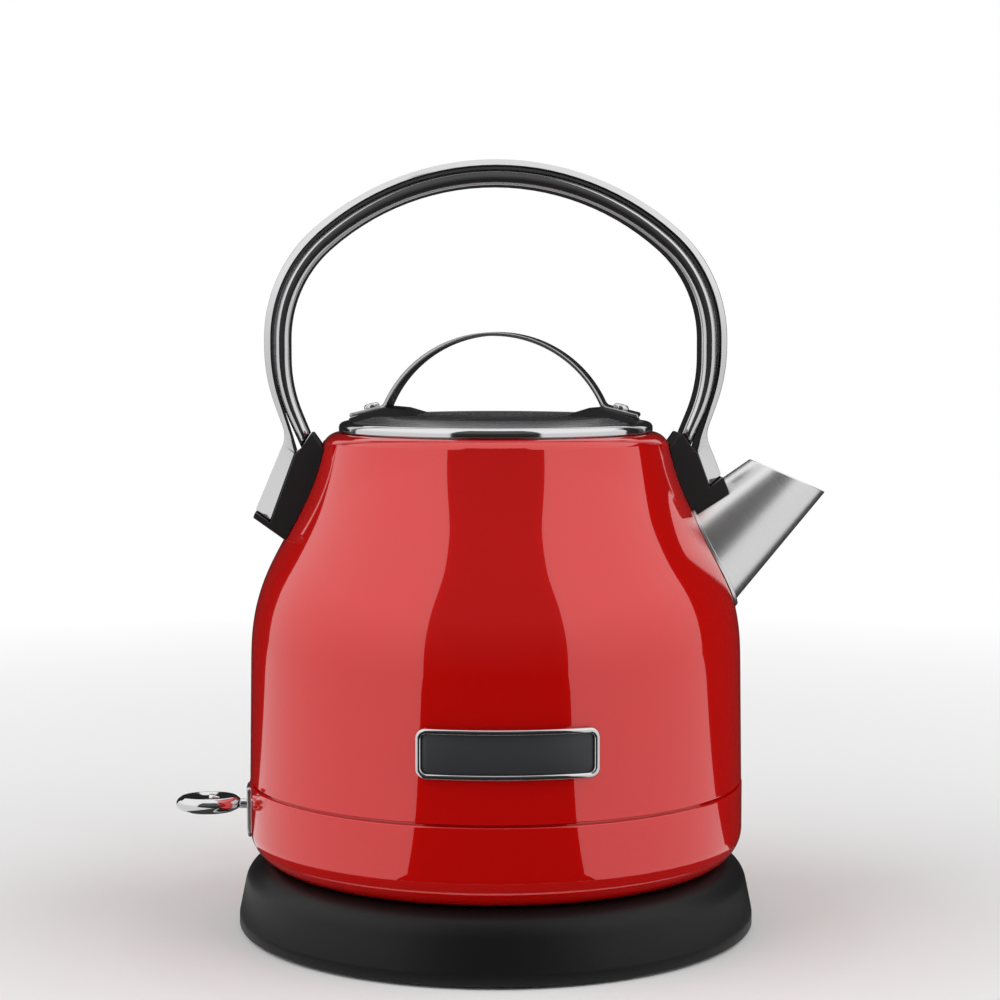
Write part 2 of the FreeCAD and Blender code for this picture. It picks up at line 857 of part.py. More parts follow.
def heater():
    seal_inner = dim.floor_radius + dim.pin_gap
    seal_outer = dim.body_radius - dim.shell_wall - dim.fit_gap
    seal_low = lip_top + dim.pin_gap
    seal = turned_ring("floor_seal", seal_inner, seal_outer, seal_low, seal_low + dim.seal_height)
    spreader = turned_ring("heat_spreader", 0.0, dim.spreader_radius, spreader_bottom, floor_bottom)
    for thing in (seal, spreader):
        place(thing, z=kettle_foot)
    return seal, spreader


def heating_element():
    # A sheathed tube bent nearly full circle, with a terminal standing down from each end.
    level = kettle_foot + spreader_bottom - dim.element_radius - dim.pin_gap
    coil = doc.addObject("Part::Torus", "element_coil")
    bind(coil, "Radius1", dim.element_circle)
    bind(coil, "Radius2", dim.element_radius)
    bind(coil, "Angle3", dim.element_sweep)
    place(coil, z=level)
    pieces = [coil]
    for index, angle in enumerate((dim.element_radius, dim.element_sweep - dim.element_radius)):
        terminal = cylinder(f"terminal_{index}", dim.terminal_radius, dim.terminal_length)
        place(
            terminal,
            x=dim.element_circle * cosine(angle),
            y=dim.element_circle * sine(angle),
            z=level - dim.terminal_length,
        )
        pieces.append(terminal)
    fuse = doc.addObject("Part::MultiFuse", "element_fuse")
    fuse.Shapes = pieces
    return keep(fuse, "heating_element")


def control_unit():
    body = new_body("control_unit_body")
    bore = socket_radius + dim.running_gap
    ceiling = socket_top + dim.running_gap
    low = cover_roof + dim.pin_gap
    high = spreader_bottom - dim.fit_gap
    revolve(body, [
        corner(bore, low),
        corner(dim.control_radius, low),
        corner(dim.control_radius, high),
        corner(0.0, high),
        corner(0.0, ceiling),
        corner(bore, ceiling),
    ])
    place(body, z=kettle_foot)
    return keep(body, "control_unit")


def steam_tube():
    height = dim.steam_tube_top - dim.steam_tube_foot
    outer = cylinder("steam_tube_outer", dim.steam_tube_radius, height)
    inner = cylinder("steam_tube_inner", dim.steam_tube_bore, height)
    for thing in (outer, inner):
        place(thing, x=-dim.steam_tube_offset, z=kettle_foot + dim.steam_tube_foot)
    return keep(cut(outer, inner, "steam_tube_cut"), "steam_tube")


def body_profile(outset):
    # The outside of the body from its seam to its shoulder, neck and top, pushed out by a little.
    return [
        corner(dim.body_radius + outset, dim.seam_height),
        corner(dim.shoulder_radius + outset, dim.shoulder_height, dim.shoulder_round + outset),
        corner(dim.neck_radius + outset, dim.neck_height, dim.neck_round - outset),
        corner(dim.top_radius + outset, dim.body_height + outset, dim.top_round + outset),
    ]


def body_envelope(name, outset):
    body = new_body(name)
    revolve(body, body_profile(outset) + [
        corner(0.0, dim.body_height + outset),
        corner(0.0, dim.seam_height),
    ])
    return place(body, z=kettle_foot)


def wall_radius(level):
    # Radius of the straight stretch of the shoulder at a height.
    share = (level - dim.shoulder_height) / (dim.neck_height - dim.shoulder_height)
    return dim.shoulder_radius + (dim.neck_radius - dim.shoulder_radius) * share


spout_root = wall_radius(dim.spout_height)


def on_spout_axis(thing):
    return place(thing, x=spout_root, z=kettle_foot + dim.spout_height, axis=(0, 1, 0), angle=dim.spout_tilt)


def body_shell():
    body = new_body("body_shell_body")
    wall = dim.shell_wall
    low = dim.body_height - dim.collar_depth
    inside = [corner(c.x - wall, c.y, c.round_by) for c in body_profile(size(0.0))]
    inside[1].round_by = dim.shoulder_round - wall
    inside[2].round_by = dim.neck_round + wall
    inside[3].round_by = dim.top_round - wall
    inside[3].y = dim.body_height - wall
    revolve(body, body_profile(size(0.0)) + [
        corner(dim.mouth_radius, dim.body_height, wall),
        corner(dim.mouth_radius, low),
        corner(dim.mouth_radius + wall, low),
        corner(dim.mouth_radius + wall, dim.body_height - wall),
    ] + inside[::-1])
    place(body, z=kettle_foot)
    bore = cylinder("spout_bore", dim.spout_bore_radius, dim.spout_radius * 2)
    bore_group = doc.addObject("Part::Compound", "spout_bore_group")
    bore_group.Links = [place(bore, z=-dim.spout_radius)]
    on_spout_axis(bore_group)
    holes = bracket_screw_holes("shell", dim.bracket_screw_radius + dim.running_gap)
    return keep(cut(body, group([bore_group, holes], "shell_holes"), "body_shell_cut"), "body_shell")


def spout_cone(name, outset, length):
    # A cone about the spout's own axis, from well inside the body.
    slope = sine(dim.spout_taper) / cosine(dim.spout_taper)
    start = -dim.spout_radius
    body = new_body(name)
    revolve(body, [
        corner(0.0, start),
        corner(dim.spout_radius + outset - slope * start, start),
        corner(dim.spout_radius + outset - slope * length, length),
        corner(0.0, length),
    ])
    return on_spout_axis(body)


def spout(envelope):
    wall = dim.spout_wall
    slope = sine(dim.spout_taper) / cosine(dim.spout_taper)
    mouth_slope = sine(dim.spout_mouth_tilt) / cosine(dim.spout_mouth_tilt)
    start = -dim.spout_radius
    end = dim.spout_length + dim.spout_radius
    body = new_body("spout_body")
    revolve(body, [
        corner(dim.spout_radius - wall - slope * start, start),
        corner(dim.spout_radius - slope * start, start),
        corner(dim.spout_radius - slope * end, end),
        corner(dim.spout_radius - wall - slope * end, end),
    ])
    # the slanted mouth, high on the side of the handle
    trim = new_sketch(body)
    wide = dim.spout_radius * 2
    draw(trim, [
        corner(-wide, dim.spout_length - wide * mouth_slope),
        corner(wide, dim.spout_length + wide * mouth_slope),
        corner(wide, end * 2),
        corner(-wide, end * 2),
    ])
    mouth = pocket(body, trim)
    mouth.SideType = "Symmetric"
    mouth.Type = "ThroughAll"
    doc.recompute()
    on_spout_axis(body)
    return keep(cut(body, envelope, "spout_cut"), "spout")


def spout_filter():
    outer = dim.spout_bore_radius - dim.running_gap
    inner = outer - dim.filter_wall
    back = dim.filter_front - dim.filter_length * 1.1
    shelf = back + dim.filter_length / 2
    frame = new_body("filter_frame_body")
    revolve(frame, [
        corner(inner, back),
        corner(outer, back),
        corner(outer, back + dim.filter_length),
        corner(inner, back + dim.filter_length),
        corner(inner, shelf),
        corner(inner - dim.filter_ledge, shelf),
        corner(inner - dim.filter_ledge, shelf - dim.filter_wall),
        corner(inner, shelf - dim.filter_wall),
    ])
    keep(on_spout_axis(frame), "filter_frame")

    mesh = new_body("filter_mesh_body")
    disc = new_sketch(mesh, "XY_Plane", shelf)
    draw_circle(disc, 0.0, 0.0, inner - dim.pin_gap)
    draw_circle(disc, 0.0, 0.0, dim.mesh_hole_radius)
    for ring in (1, 2, 3, 4):
        for step in range(6 * ring):
            angle = size(60.0 * step / ring)
            reach = dim.mesh_pitch * ring
            draw_circle(disc, reach * cosine(angle), reach * sine(angle), dim.mesh_hole_radius)
    extrude(mesh, disc, dim.mesh_thickness, symmetric=False)
    return keep(on_spout_axis(mesh), "filter_mesh")


def badge():
    back = dim.body_radius + dim.fit_gap - dim.seam_gap * 0.25
    frame_front = dim.body_radius + dim.badge_thickness
    plate_front = dim.body_radius + dim.badge_plate_thickness
    half_width, half_height = dim.badge_width / 2, dim.badge_height / 2
    border = dim.badge_border

    def bar(name, inset, window):
        body = new_body(name)
        sketch = new_sketch(body)
        draw(sketch, box_corners(
            inset - half_width, dim.badge_level - half_height + inset,
            half_width - inset, dim.badge_level + half_height - inset, dim.badge_round - inset,
        ))
        if window is not None:
            draw(sketch, box_corners(
                window - half_width, dim.badge_level - half_height + window,
                half_width - window, dim.badge_level + half_height - window, dim.badge_round - window,
            ))
        extrude(body, sketch, dim.body_radius * 2, symmetric=False)
        return place(body, z=kettle_foot)

    def curved(name, piece, front):
        outer = cylinder(f"{name}_outer", front, dim.body_height)
        inner = cylinder(f"{name}_inner", back, dim.body_height)
        for thing in (outer, inner):
            place(thing, z=kettle_foot)
        common = doc.addObject("Part::Common", f"{name}_common")
        common.Base = piece
        common.Tool = cut(outer, inner, f"{name}_ring")
        return keep(common, name)

    curved("badge_frame", bar("badge_frame_bar", size(0.0), border), frame_front)
    curved("badge_plate", bar("badge_plate_bar", border + dim.pin_gap, None), plate_front)


# The arched handle is drawn in the XZ plane. Heights are from the kettle's foot and widths from its axis.
arch_centre = dim.body_height + dim.arch_level
arch_top_shift = (
    (dim.arch_half_span - dim.arch_side_radius) * (dim.arch_half_span - dim.arch_side_radius)
    - (dim.arch_rise - dim.arch_side_radius) * (dim.arch_rise - dim.arch_side_radius)
) / ((dim.arch_rise - dim.arch_side_radius) * 2)
arch_top_radius = dim.arch_rise + arch_top_shift
knee_x = dim.neck_radius + dim.knee_reach
knee_z = dim.body_height - dim.knee_drop
heel_x = dim.neck_radius + dim.heel_reach
heel_z = dim.body_height - dim.heel_drop


def arch_shoulder(inset):
    # Where the side of the arch starts to lean in towards the bracket.
    lean = (dim.arch_half_span - knee_x) / (arch_centre - dim.arch_shoulder_drop - knee_z)
    return corner(
        dim.arch_half_span - inset,
        arch_centre - dim.arch_shoulder_drop + inset * lean / 2,
        dim.arch_shoulder_round - inset,
    )


def arch_over(inset, leftward):
    # The three-centred arch from its widest point on one side to the other, set in by an offset.
    side = dim.arch_side_radius - inset
    span = arch_top_radius - dim.arch_side_radius
    turn_x = (dim.arch_half_span - dim.arch_side_radius) * (1.0 + side / span)
    turn_z = arch_centre + side * arch_top_shift / span
    sign = 1.0 if leftward else -1.0
    return [
        corner((dim.arch_half_span - inset) * sign, arch_centre, arc=side * sign),
        corner(turn_x * sign, turn_z, arc=(arch_top_radius - inset) * sign),
        corner(-turn_x * sign, turn_z, arc=side * sign),
        corner(-(dim.arch_half_span - inset) * sign, arch_centre),
    ]


def plate_end(drop):
    # The two lower corners of an end plate of the strip, outer then inner.
    inner = corner(heel_x + (drop - dim.heel_drop) * dim.plate_lean, dim.body_height - drop)
    low = drop - dim.plate_end_rise
    outer = corner(knee_x + (low - dim.knee_drop) * dim.plate_outer_lean, dim.body_height - low)
    return outer, inner


def strip_side(drop):
    # One end of the strip, from the foot of its plate up the outside, and back down the inside.
    outer, inner = plate_end(drop)
    outside = [outer, corner(knee_x, knee_z, dim.knee_round), arch_shoulder(size(0.0))]
    inside = [
        arch_shoulder(dim.strip_thickness),
        corner(knee_x - dim.strip_waist, knee_z),
        corner(heel_x, heel_z, dim.strip_waist / 2),
        inner,
    ]
    return outside, inside


def handle_strip():
    front_out, front_in = strip_side(dim.plate_front_drop)
    rear_out, rear_in = strip_side(dim.plate_rear_drop)
    body = new_body("handle_strip_body")
    sketch = new_sketch(body)
    draw(sketch, front_out + arch_over(size(0.0), True) + mirrored(rear_out)
         + [corner(-c.x, c.y, c.round_by) for c in rear_in[::-1]]
         + arch_over(dim.strip_thickness, False) + front_in)
    extrude(body, sketch, dim.strip_half_width * 2)
    place(body, z=kettle_foot)
    return keep(body, "handle_strip")


def tube_foot(inset, reach, drop):
    # A lower corner of the tube, on the sloping top of a bracket, and the corner above it.
    return (
        corner(dim.neck_radius + reach, dim.body_height - drop),
        corner(
            dim.arch_half_span - inset,
            arch_centre - dim.tube_lean_drop,
            dim.arch_shoulder_round - inset,
        ),
    )


def handle_tube():
    near = dim.strip_thickness + dim.groove_width
    far = near + dim.tube_thickness
    rib = dim.strip_thickness + dim.pin_gap
    foot_out, lean_out = tube_foot(near, dim.tube_end_reach, dim.tube_end_drop)
    foot_in, lean_in = tube_foot(far, dim.tube_inner_reach, dim.tube_inner_drop)
    body = new_body("handle_tube_body")
    sketch = new_sketch(body)
    draw(sketch, [foot_out, lean_out] + arch_over(near, True) + mirrored([foot_out, lean_out])
         + [corner(-foot_in.x, foot_in.y), corner(-lean_in.x, lean_in.y, lean_in.round_by)]
         + arch_over(far, False) + [lean_in, foot_in])
    extrude(body, sketch, dim.tube_half_width * 2)
    fillet(body, dim.tube_round, flat_ends(dim.tube_half_width, dim.body_height))
    # a rib along the middle carries the strip and leaves a groove on each side
    middle = new_sketch(body)
    draw(middle, arch_over(rib, True) + arch_over(near + dim.tube_round, False))
    extrude(body, middle, dim.rib_half_width * 2)
    place(body, z=kettle_foot)
    return keep(body, "handle_tube")


def bracket(label, drop, lip, sign, trims):
    # A moulded block between the body and the end of the handle, with a lip under the strip's end plate.
    gap = dim.running_gap
    outer, inner = plate_end(drop)
    face = corner(dim.neck_radius + dim.tube_inner_reach, dim.body_height - dim.tube_inner_drop - gap)
    ledge = corner(dim.neck_radius + dim.tube_end_reach, dim.body_height - dim.tube_end_drop - gap)
    slope = (outer.y - inner.y) / (outer.x - inner.x)
    root = dim.bracket_root
    corners = [
        corner(root, face.y),
        face,
        ledge,
        corner(heel_x - gap * 3, heel_z - gap * 3),
        corner(inner.x - gap, inner.y - gap * 2),
        corner(outer.x, outer.y - gap * 2),
        corner(outer.x + lip * dim.plate_outer_lean, outer.y - gap * 2 - lip, dim.bracket_round / 2),
        corner(root, outer.y - gap * 2 - lip - slope * (outer.x + lip * dim.plate_outer_lean - root)),
    ]
    body = new_body(f"{label}_body")
    sketch = new_sketch(body)
    draw(sketch, corners if sign > 0 else mirrored(corners))
    extrude(body, sketch, dim.bracket_half_width * 2)
    fillet(body, dim.bracket_edge_round, flat_ends(dim.bracket_half_width))
    place(body, z=kettle_foot)
    holes = bracket_screw_holes(label, dim.bracket_screw_radius + dim.pin_gap)
    return keep(cut(body, group(trims + [holes], f"{label}_trims"), f"{label}_cut"), label)


def on_bracket_screws(things, name):
    # One screw pair at the front bracket and its reflection at the rear one.
    for index, thing in enumerate(things):
        side = dim.bracket_screw_spread * (1.0 if index else -1.0)
        place(
            thing,
            x=dim.neck_radius - dim.shell_wall - dim.running_gap,
            y=side,
            z=kettle_foot + dim.neck_height,
            axis=(0, 1, 0),
            angle=dim.bracket_screw_tilt,
        )
    pair = group(things, f"{name}_front")
    return group([pair, reflect(pair, (1, 0, 0), f"{name}_rear")], f"{name}_all")


def bracket_screw_holes(owner, radius):
    length = dim.bracket_screw_length + dim.running_gap
    holes = [cylinder(f"{owner}_hole_{i}", radius, length) for i in (0, 1)]
    return on_bracket_screws(holes, f"{owner}_holes")


def bracket_screws():
    things = []
    for index in (0, 1):
        body = new_body(f"bracket_screw_{index}")
        revolve(body, [
            corner(0.0, -dim.screw_head_height),
            corner(dim.screw_head_radius, -dim.screw_head_height),
            corner(dim.screw_head_radius, 0.0),
            corner(dim.bracket_screw_radius, 0.0),
            corner(dim.bracket_screw_radius, dim.bracket_screw_length),
            corner(0.0, dim.bracket_screw_length),
        ])
        things.append(body)
    return keep(on_bracket_screws(things, "bracket_screws"), "bracket_screws")


pivot_x = dim.band_radius - dim.pivot_inset


def switch_escutcheon():
    # A thin plate that follows the band's side and the start of its rounded foot.
    inner = dim.band_round + dim.fit_gap
    outer = inner + dim.escutcheon_thickness
    centre_x = dim.band_radius - dim.band_round
    down, across = sine(dim.escutcheon_wrap), cosine(dim.escutcheon_wrap)
    body = new_body("switch_escutcheon_body")
    revolve(body, [
        corner(-centre_x - inner, dim.escutcheon_top),
        corner(-centre_x - outer, dim.escutcheon_top),
        corner(-centre_x - outer, dim.band_round, arc=outer),
        corner(-centre_x - outer * across, dim.band_round - outer * down),
        corner(-centre_x - inner * across, dim.band_round - inner * down, arc=-inner),
        corner(-centre_x - inner, dim.band_round),
    ], sweep=dim.escutcheon_width / dim.band_radius * (180.0 / math.pi))
    pocket(body, stem_slot(body))
    place(body, z=kettle_foot)
    return keep(body, "switch_escutcheon")


def switch_cradle():
    # Two ears on a foot that stands on the bottom cover, bored for the rocker's pin.
    body = new_body("switch_cradle_body")
    low = cover_top + dim.pin_gap
    half = dim.cradle_depth / 2
    foot_end = -dim.band_lip_radius + dim.running_gap
    foot = new_sketch(body)
    draw(foot, [
        corner(-pivot_x - half, low + dim.cover_wall),
        corner(foot_end, low),
        corner(foot_end + dim.cradle_base_length, low),
        corner(foot_end + dim.cradle_base_length, low + dim.cover_wall),
        corner(-pivot_x + half, dim.switch_height + half),
        corner(-pivot_x - half, dim.switch_height + half),
    ])
    extrude(body, foot, dim.cradle_half_width * 2)
    gap = new_sketch(body)
    inner = dim.cradle_half_width - dim.cradle_ear
    draw(gap, box_corners(
        -pivot_x - dim.cradle_depth * 2, low + dim.cover_wall,
        foot_end + dim.cradle_base_length * 2, dim.switch_height + dim.cradle_depth,
    ))
    between = pocket(body, gap, inner * 2)
    between.SideType = "Symmetric"
    doc.recompute()
    bore = new_sketch(body)
    draw_circle(bore, -pivot_x, dim.switch_height, dim.pivot_radius + dim.pin_gap)
    through = pocket(body, bore)
    through.SideType = "Symmetric"
    through.Type = "ThroughAll"
    doc.recompute()
    place(body, z=kettle_foot)
    return keep(body, "switch_cradle")


def switch_rocker():
    body = new_body("switch_rocker_body")
    half = dim.rocker_radius
    sketch = new_sketch(body)
    draw(sketch, box_corners(
        -pivot_x - dim.rocker_length, dim.switch_height - half,
        -pivot_x + half, dim.switch_height + half, half * 0.8,
    ))
    draw_circle(sketch, -pivot_x, dim.switch_height, dim.pivot_radius + dim.pin_gap)
    extrude(body, sketch, (dim.cradle_half_width - dim.cradle_ear - dim.running_gap) * 2)
    place(body, z=kettle_foot)
    return keep(body, "switch_rocker")


def switch_pin():
    thing = cylinder("switch_pin_rod", dim.pivot_radius, dim.cradle_half_width * 2)
    level = kettle_foot + dim.switch_height
    place(thing, x=-pivot_x, y=dim.cradle_half_width, z=level, axis=(1, 0, 0), angle=90.0)
    return keep(thing, "switch_pin")


def switch_lever():
    # An oval paddle, dished on top, on a round stem.
    long_half, wide_half = dim.paddle_length / 2, dim.paddle_width / 2
    end = dim.paddle_end_radius
    long_part, wide_part = long_half - end, wide_half - end
    shift = (long_part * long_part - wide_part * wide_part) / (wide_part * 2)
    span = wide_part + shift
    turn_x = long_part * (1.0 + end / span)
    turn_y = end * shift / span
    body = new_body("switch_lever_body")
    oval = new_sketch(body, "XY_Plane", -dim.paddle_thickness / 2)
    draw(oval, [
        corner(turn_x, -turn_y, arc=end),
        corner(turn_x, turn_y, arc=wide_half + shift),
        corner(-turn_x, turn_y, arc=end),
        corner(-turn_x, -turn_y, arc=wide_half + shift),
    ])
    extrude(body, oval, dim.paddle_thickness, symmetric=False)
    half = dim.paddle_thickness.value / 2
    fillet(body, dim.paddle_round, lambda edge: all(abs(abs(v.Z) - half) < 1e-6 for v in edge.Vertexes))
    top = dim.paddle_thickness / 2
    dish = (dim.dish_radius * dim.dish_radius + dim.dish_depth * dim.dish_depth) / (dim.dish_depth * 2)
    groove(body, [
        corner(0.0, top - dim.dish_depth, arc=dish),
        corner(dim.dish_radius, top),
        corner(dim.dish_radius, top + dim.dish_depth),
        corner(0.0, top + dim.dish_depth),
    ])
    stem = new_sketch(body, "YZ_Plane", long_half - dim.paddle_round)
    draw_circle(stem, 0.0, dim.switch_height - lever_level, dim.stem_radius)
    extrude(body, stem, stem_length(), symmetric=False)
    place(body, x=-(dim.band_radius + dim.paddle_reach - long_half), z=kettle_foot + lever_level)
    return keep(body, "switch_lever")


lever_level = dim.switch_height + dim.slot_margin / 2


def stem_length():
    # From inside the paddle to the face of the rocker.
    inner_end = dim.paddle_reach - dim.paddle_length + dim.paddle_round
    return inner_end + dim.pivot_inset - dim.rocker_length - dim.pin_gap


def lid_place(thing):
    return place(thing, z=lid_seat, axis=(0, 0, 1), angle=dim.lid_turn)


rim_low = dim.lid_gap + dim.plug_wall
rim_top = rim_low + dim.rim_height
rim_inner = dim.lid_radius - dim.rim_width
dome_edge = rim_inner - dim.fit_gap
dome_top = rim_top + dim.dome_rise
dome_radius = (dome_edge * dome_edge + dim.dome_rise * dim.dome_rise) / (dim.dome_rise * 2)


def lid_rim():
    body = new_body("lid_rim_body")
    revolve(body, box_corners(rim_inner, rim_low, dim.lid_radius, rim_top, dim.rim_round))
    return keep(lid_place(body), "lid_rim")


def lid_cover():
    body = new_body("lid_cover_body")
    thick = dim.dome_thickness
    revolve(body, [
        corner(dome_edge, rim_top - thick),
        corner(dome_edge, rim_top, arc=dome_radius),
        corner(0.0, dome_top),
        corner(0.0, dome_top - thick, arc=-dome_radius),
    ])
    return keep(lid_place(body), "lid_cover")


def lid_plug():
    body = new_body("lid_plug_body")
    wall = dim.plug_wall
    low = -dim.plug_depth
    revolve(body, [
        corner(0.0, low),
        corner(dim.plug_radius, low, dim.collar_depth / 2),
        corner(dim.plug_radius, dim.lid_gap),
        corner(dim.lid_radius - wall, dim.lid_gap),
        corner(dim.lid_radius - wall, dim.lid_gap + wall),
        corner(dim.plug_radius - wall, dim.lid_gap + wall),
        corner(dim.plug_radius - wall, low + wall, dim.collar_depth / 2 - wall),
        corner(0.0, low + wall),
    ])
    return keep(lid_place(body), "lid_plug")


def lid_seal():
    high = -dim.lid_seal_drop
    inner = dim.plug_radius + dim.pin_gap
    outer = dim.mouth_radius - dim.running_gap
    ring = turned_ring("lid_seal", inner, outer, high - dim.lid_seal_height, high)
    return lid_place(ring)


# The lid's strap, drawn in the lid's own XZ plane
foot_slope = sine(dim.strap_foot_slope) / cosine(dim.strap_foot_slope)
foot_depth = dim.strap_thickness / cosine(dim.strap_foot_slope)
strap_centre = -dim.strap_centre_drop
strap_inside = dim.strap_radius - dim.strap_thickness
knee_level = strap_centre + root(dim.strap_radius * dim.strap_radius - dim.strap_knee * dim.strap_knee)
inner_knee_level = knee_level - foot_depth
inner_knee_rise = inner_knee_level - strap_centre
inner_knee_x = root(strap_inside * strap_inside - inner_knee_rise * inner_knee_rise)


def foot_top(x):
    return knee_level - (x - dim.strap_knee) * foot_slope


def foot_bottom(x):
    return inner_knee_level - (x - inner_knee_x) * foot_slope


def rivet_tools(name, radius):
    hole = cylinder(f"{name}_hole", radius, dim.strap_thickness + dim.rivet_grip * 2)
    shaft = on_rivet(hole, -dim.rivet_grip - dim.strap_thickness)
    return group([shaft, reflect(shaft, (1, 0, 0), f"{name}_other")], f"{name}_holes")


def on_rivet(thing, start):
    # Along a rivet's axis, square to the foot of the strap, in the lid's own frame.
    lean = dim.strap_foot_slope
    return place(
        thing,
        x=dim.rivet_reach + start * sine(lean),
        z=foot_top(dim.rivet_reach) + start * cosine(lean),
        axis=(0, 1, 0),
        angle=lean,
    )


def lid_strap():
    body = new_body("lid_strap_body")
    sketch = new_sketch(body)
    end = dim.strap_end
    draw(sketch, [
        corner(end, foot_bottom(end)),
        corner(end, foot_top(end)),
        corner(dim.strap_knee, knee_level, arc=dim.strap_radius),
        corner(-dim.strap_knee, knee_level),
        corner(-end, foot_top(end)),
        corner(-end, foot_bottom(end)),
        corner(-inner_knee_x, inner_knee_level, arc=-strap_inside),
        corner(inner_knee_x, inner_knee_level),
    ])
    extrude(body, sketch, dim.strap_half_width * 2)
    holed = cut(body, rivet_tools("strap", dim.rivet_radius + dim.fit_gap), "lid_strap_cut")
    return keep(lid_place(holed), "lid_strap")


def lid_pads():
    # Wedges between the dome and the strap's feet.
    lift = dim.running_gap
    body = new_body("lid_pad_body")
    sketch = new_sketch(body)
    draw(sketch, [
        corner(dim.pad_inner, dome_top + lift - dim.pad_inner * dim.pad_inner / (dome_radius * 2)),
        corner(dim.pad_outer, rim_top + lift),
        corner(dim.pad_outer, foot_bottom(dim.pad_outer) - dim.pin_gap),
        corner(inner_knee_x, inner_knee_level - dim.pin_gap),
        corner(dim.pad_inner, dim.pad_inner_height),
    ])
    extrude(body, sketch, dim.pad_half_width * 2)
    fillet(body, dim.pad_round, is_pad_corner)
    for label, turn in (("lid_pad_front", dim.lid_turn), ("lid_pad_rear", dim.lid_turn + 180.0)):
        holed = cut(body, rivet_tools(label, dim.rivet_radius + dim.fit_gap), f"{label}_cut")
        keep(place(holed, z=lid_seat, axis=(0, 0, 1), angle=turn), label)


def is_pad_corner(edge):
    ends = edge.Vertexes
    upright = abs(ends[0].Y - ends[-1].Y) < 1e-6 and abs(ends[0].X - ends[-1].X) < 1e-6
    return upright and abs(ends[0].X - dim.pad_outer.value) < 1e-6


def lid_rivets():
    body = new_body("lid_rivet_body")
    revolve(body, [
        corner(0.0, -dim.rivet_grip),
        corner(dim.rivet_radius, -dim.rivet_grip),
        corner(dim.rivet_radius, dim.pin_gap),
        corner(dim.rivet_head_radius, dim.pin_gap),
        corner(dim.rivet_head_radius, dim.rivet_head_height, dim.rivet_head_height * 0.8),
        corner(0.0, dim.rivet_head_height),
    ])
    on_rivet(body, size(0.0))
    pair = group([body, reflect(body, (1, 0, 0), "lid_rivet_other")], "lid_rivets_group")
    return keep(lid_place(pair), "lid_rivets")


def build():
    base_cover()
    base_plate()
    base_feet()
    base_screws()
    connector_post()
    connector_contacts()
    cord_gland()
    connector_socket()
    socket_contacts()
    lower_band()
    bottom_cover()
    bottom_screws()
    heating_plate()
    heater()
    heating_element()
    control_unit()
    steam_tube()
    body_shell()
    envelope = body_envelope("fitting_envelope", dim.running_gap)
    spout(envelope)
    spout_filter()
    badge()
    handle_strip()
    handle_tube()
    spout_clear = spout_cone("spout_clearance", dim.running_gap, dim.spout_length)
    bracket("handle_bracket_rear", dim.plate_rear_drop, dim.bracket_lip, -1, [envelope])
    bracket("handle_bracket_front", dim.plate_front_drop, dim.bracket_front_lip, 1, [envelope, spout_clear])
    bracket_screws()
    switch_escutcheon()
    switch_cradle()
    switch_rocker()
    switch_pin()
    switch_lever()
    lid_rim()
    lid_cover()
    lid_plug()
    lid_seal()
    lid_pads()
    lid_strap()
    lid_rivets()


def check_and_write():
    doc.recompute()
    failed = [thing.Name for thing in doc.Objects if {"Invalid", "Error"} & set(thing.State)]
    for thing in sub_parts:
        if thing.Shape.isNull() or not thing.Shape.isValid() or not thing.Shape.Solids:
            failed.append(thing.Label)
    if failed:
        raise RuntimeError(f"not built: {failed}")
    os.makedirs("parts", exist_ok=True)
    for thing in sub_parts:
        thing.Shape.exportStep(f"parts/{thing.Label}.step")
        print(thing.Label, len(thing.Shape.Solids), round(thing.Shape.Volume, 1))


build()
check_and_write()
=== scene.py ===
import bmesh
import bpy
import math
from mathutils import Matrix, Vector


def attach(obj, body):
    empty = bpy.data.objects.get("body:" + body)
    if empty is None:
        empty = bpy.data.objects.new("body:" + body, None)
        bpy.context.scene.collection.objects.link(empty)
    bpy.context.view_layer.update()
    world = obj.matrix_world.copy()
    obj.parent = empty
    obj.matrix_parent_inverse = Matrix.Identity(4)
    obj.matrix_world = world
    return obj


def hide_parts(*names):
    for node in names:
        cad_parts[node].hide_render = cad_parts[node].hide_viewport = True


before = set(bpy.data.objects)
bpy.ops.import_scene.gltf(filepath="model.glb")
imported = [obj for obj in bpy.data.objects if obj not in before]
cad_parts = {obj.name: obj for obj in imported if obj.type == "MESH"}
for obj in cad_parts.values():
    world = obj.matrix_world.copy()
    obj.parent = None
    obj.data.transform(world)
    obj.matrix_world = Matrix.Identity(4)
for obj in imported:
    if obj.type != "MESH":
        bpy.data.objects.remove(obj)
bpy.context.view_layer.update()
print("frame loaded:", len(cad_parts), "nodes")

# lengths below are in millimetres, and a finished mesh is scaled to metres
foot = 23.3                       # the kettle's foot above the table
lidSeat = foot + 147.0            # the rim that the lid stands over
lidTurn = math.radians(-8.5)      # the lid sits a little askew
spoutRoot = Vector((75.01, 0, foot + 106.5))
spoutTilt = math.radians(47.5)


# a socket's value, which takes sums and products, and the node tree that every finish below is written in
class Value:
    def __init__(self, maker, socket):
        self.maker = maker
        self.socket = socket

    def math(self, operation, *others):
        return self.maker.node("ShaderNodeMath", {"operation": operation}, dict(enumerate((self, *others))))

    def __add__(self, other):
        return self.math("ADD", other)

    def __radd__(self, other):
        return self.math("ADD", other)

    def __sub__(self, other):
        return self.math("SUBTRACT", other)

    def __rsub__(self, other):
        return self.maker.node("ShaderNodeMath", {"operation": "SUBTRACT"}, {0: other, 1: self})

    def __mul__(self, other):
        return self.math("MULTIPLY", other)

    def __rmul__(self, other):
        return self.math("MULTIPLY", other)

    def __truediv__(self, other):
        return self.math("DIVIDE", other)

    def clamped(self, low, high):
        return self.math("MAXIMUM", low).math("MINIMUM", high)


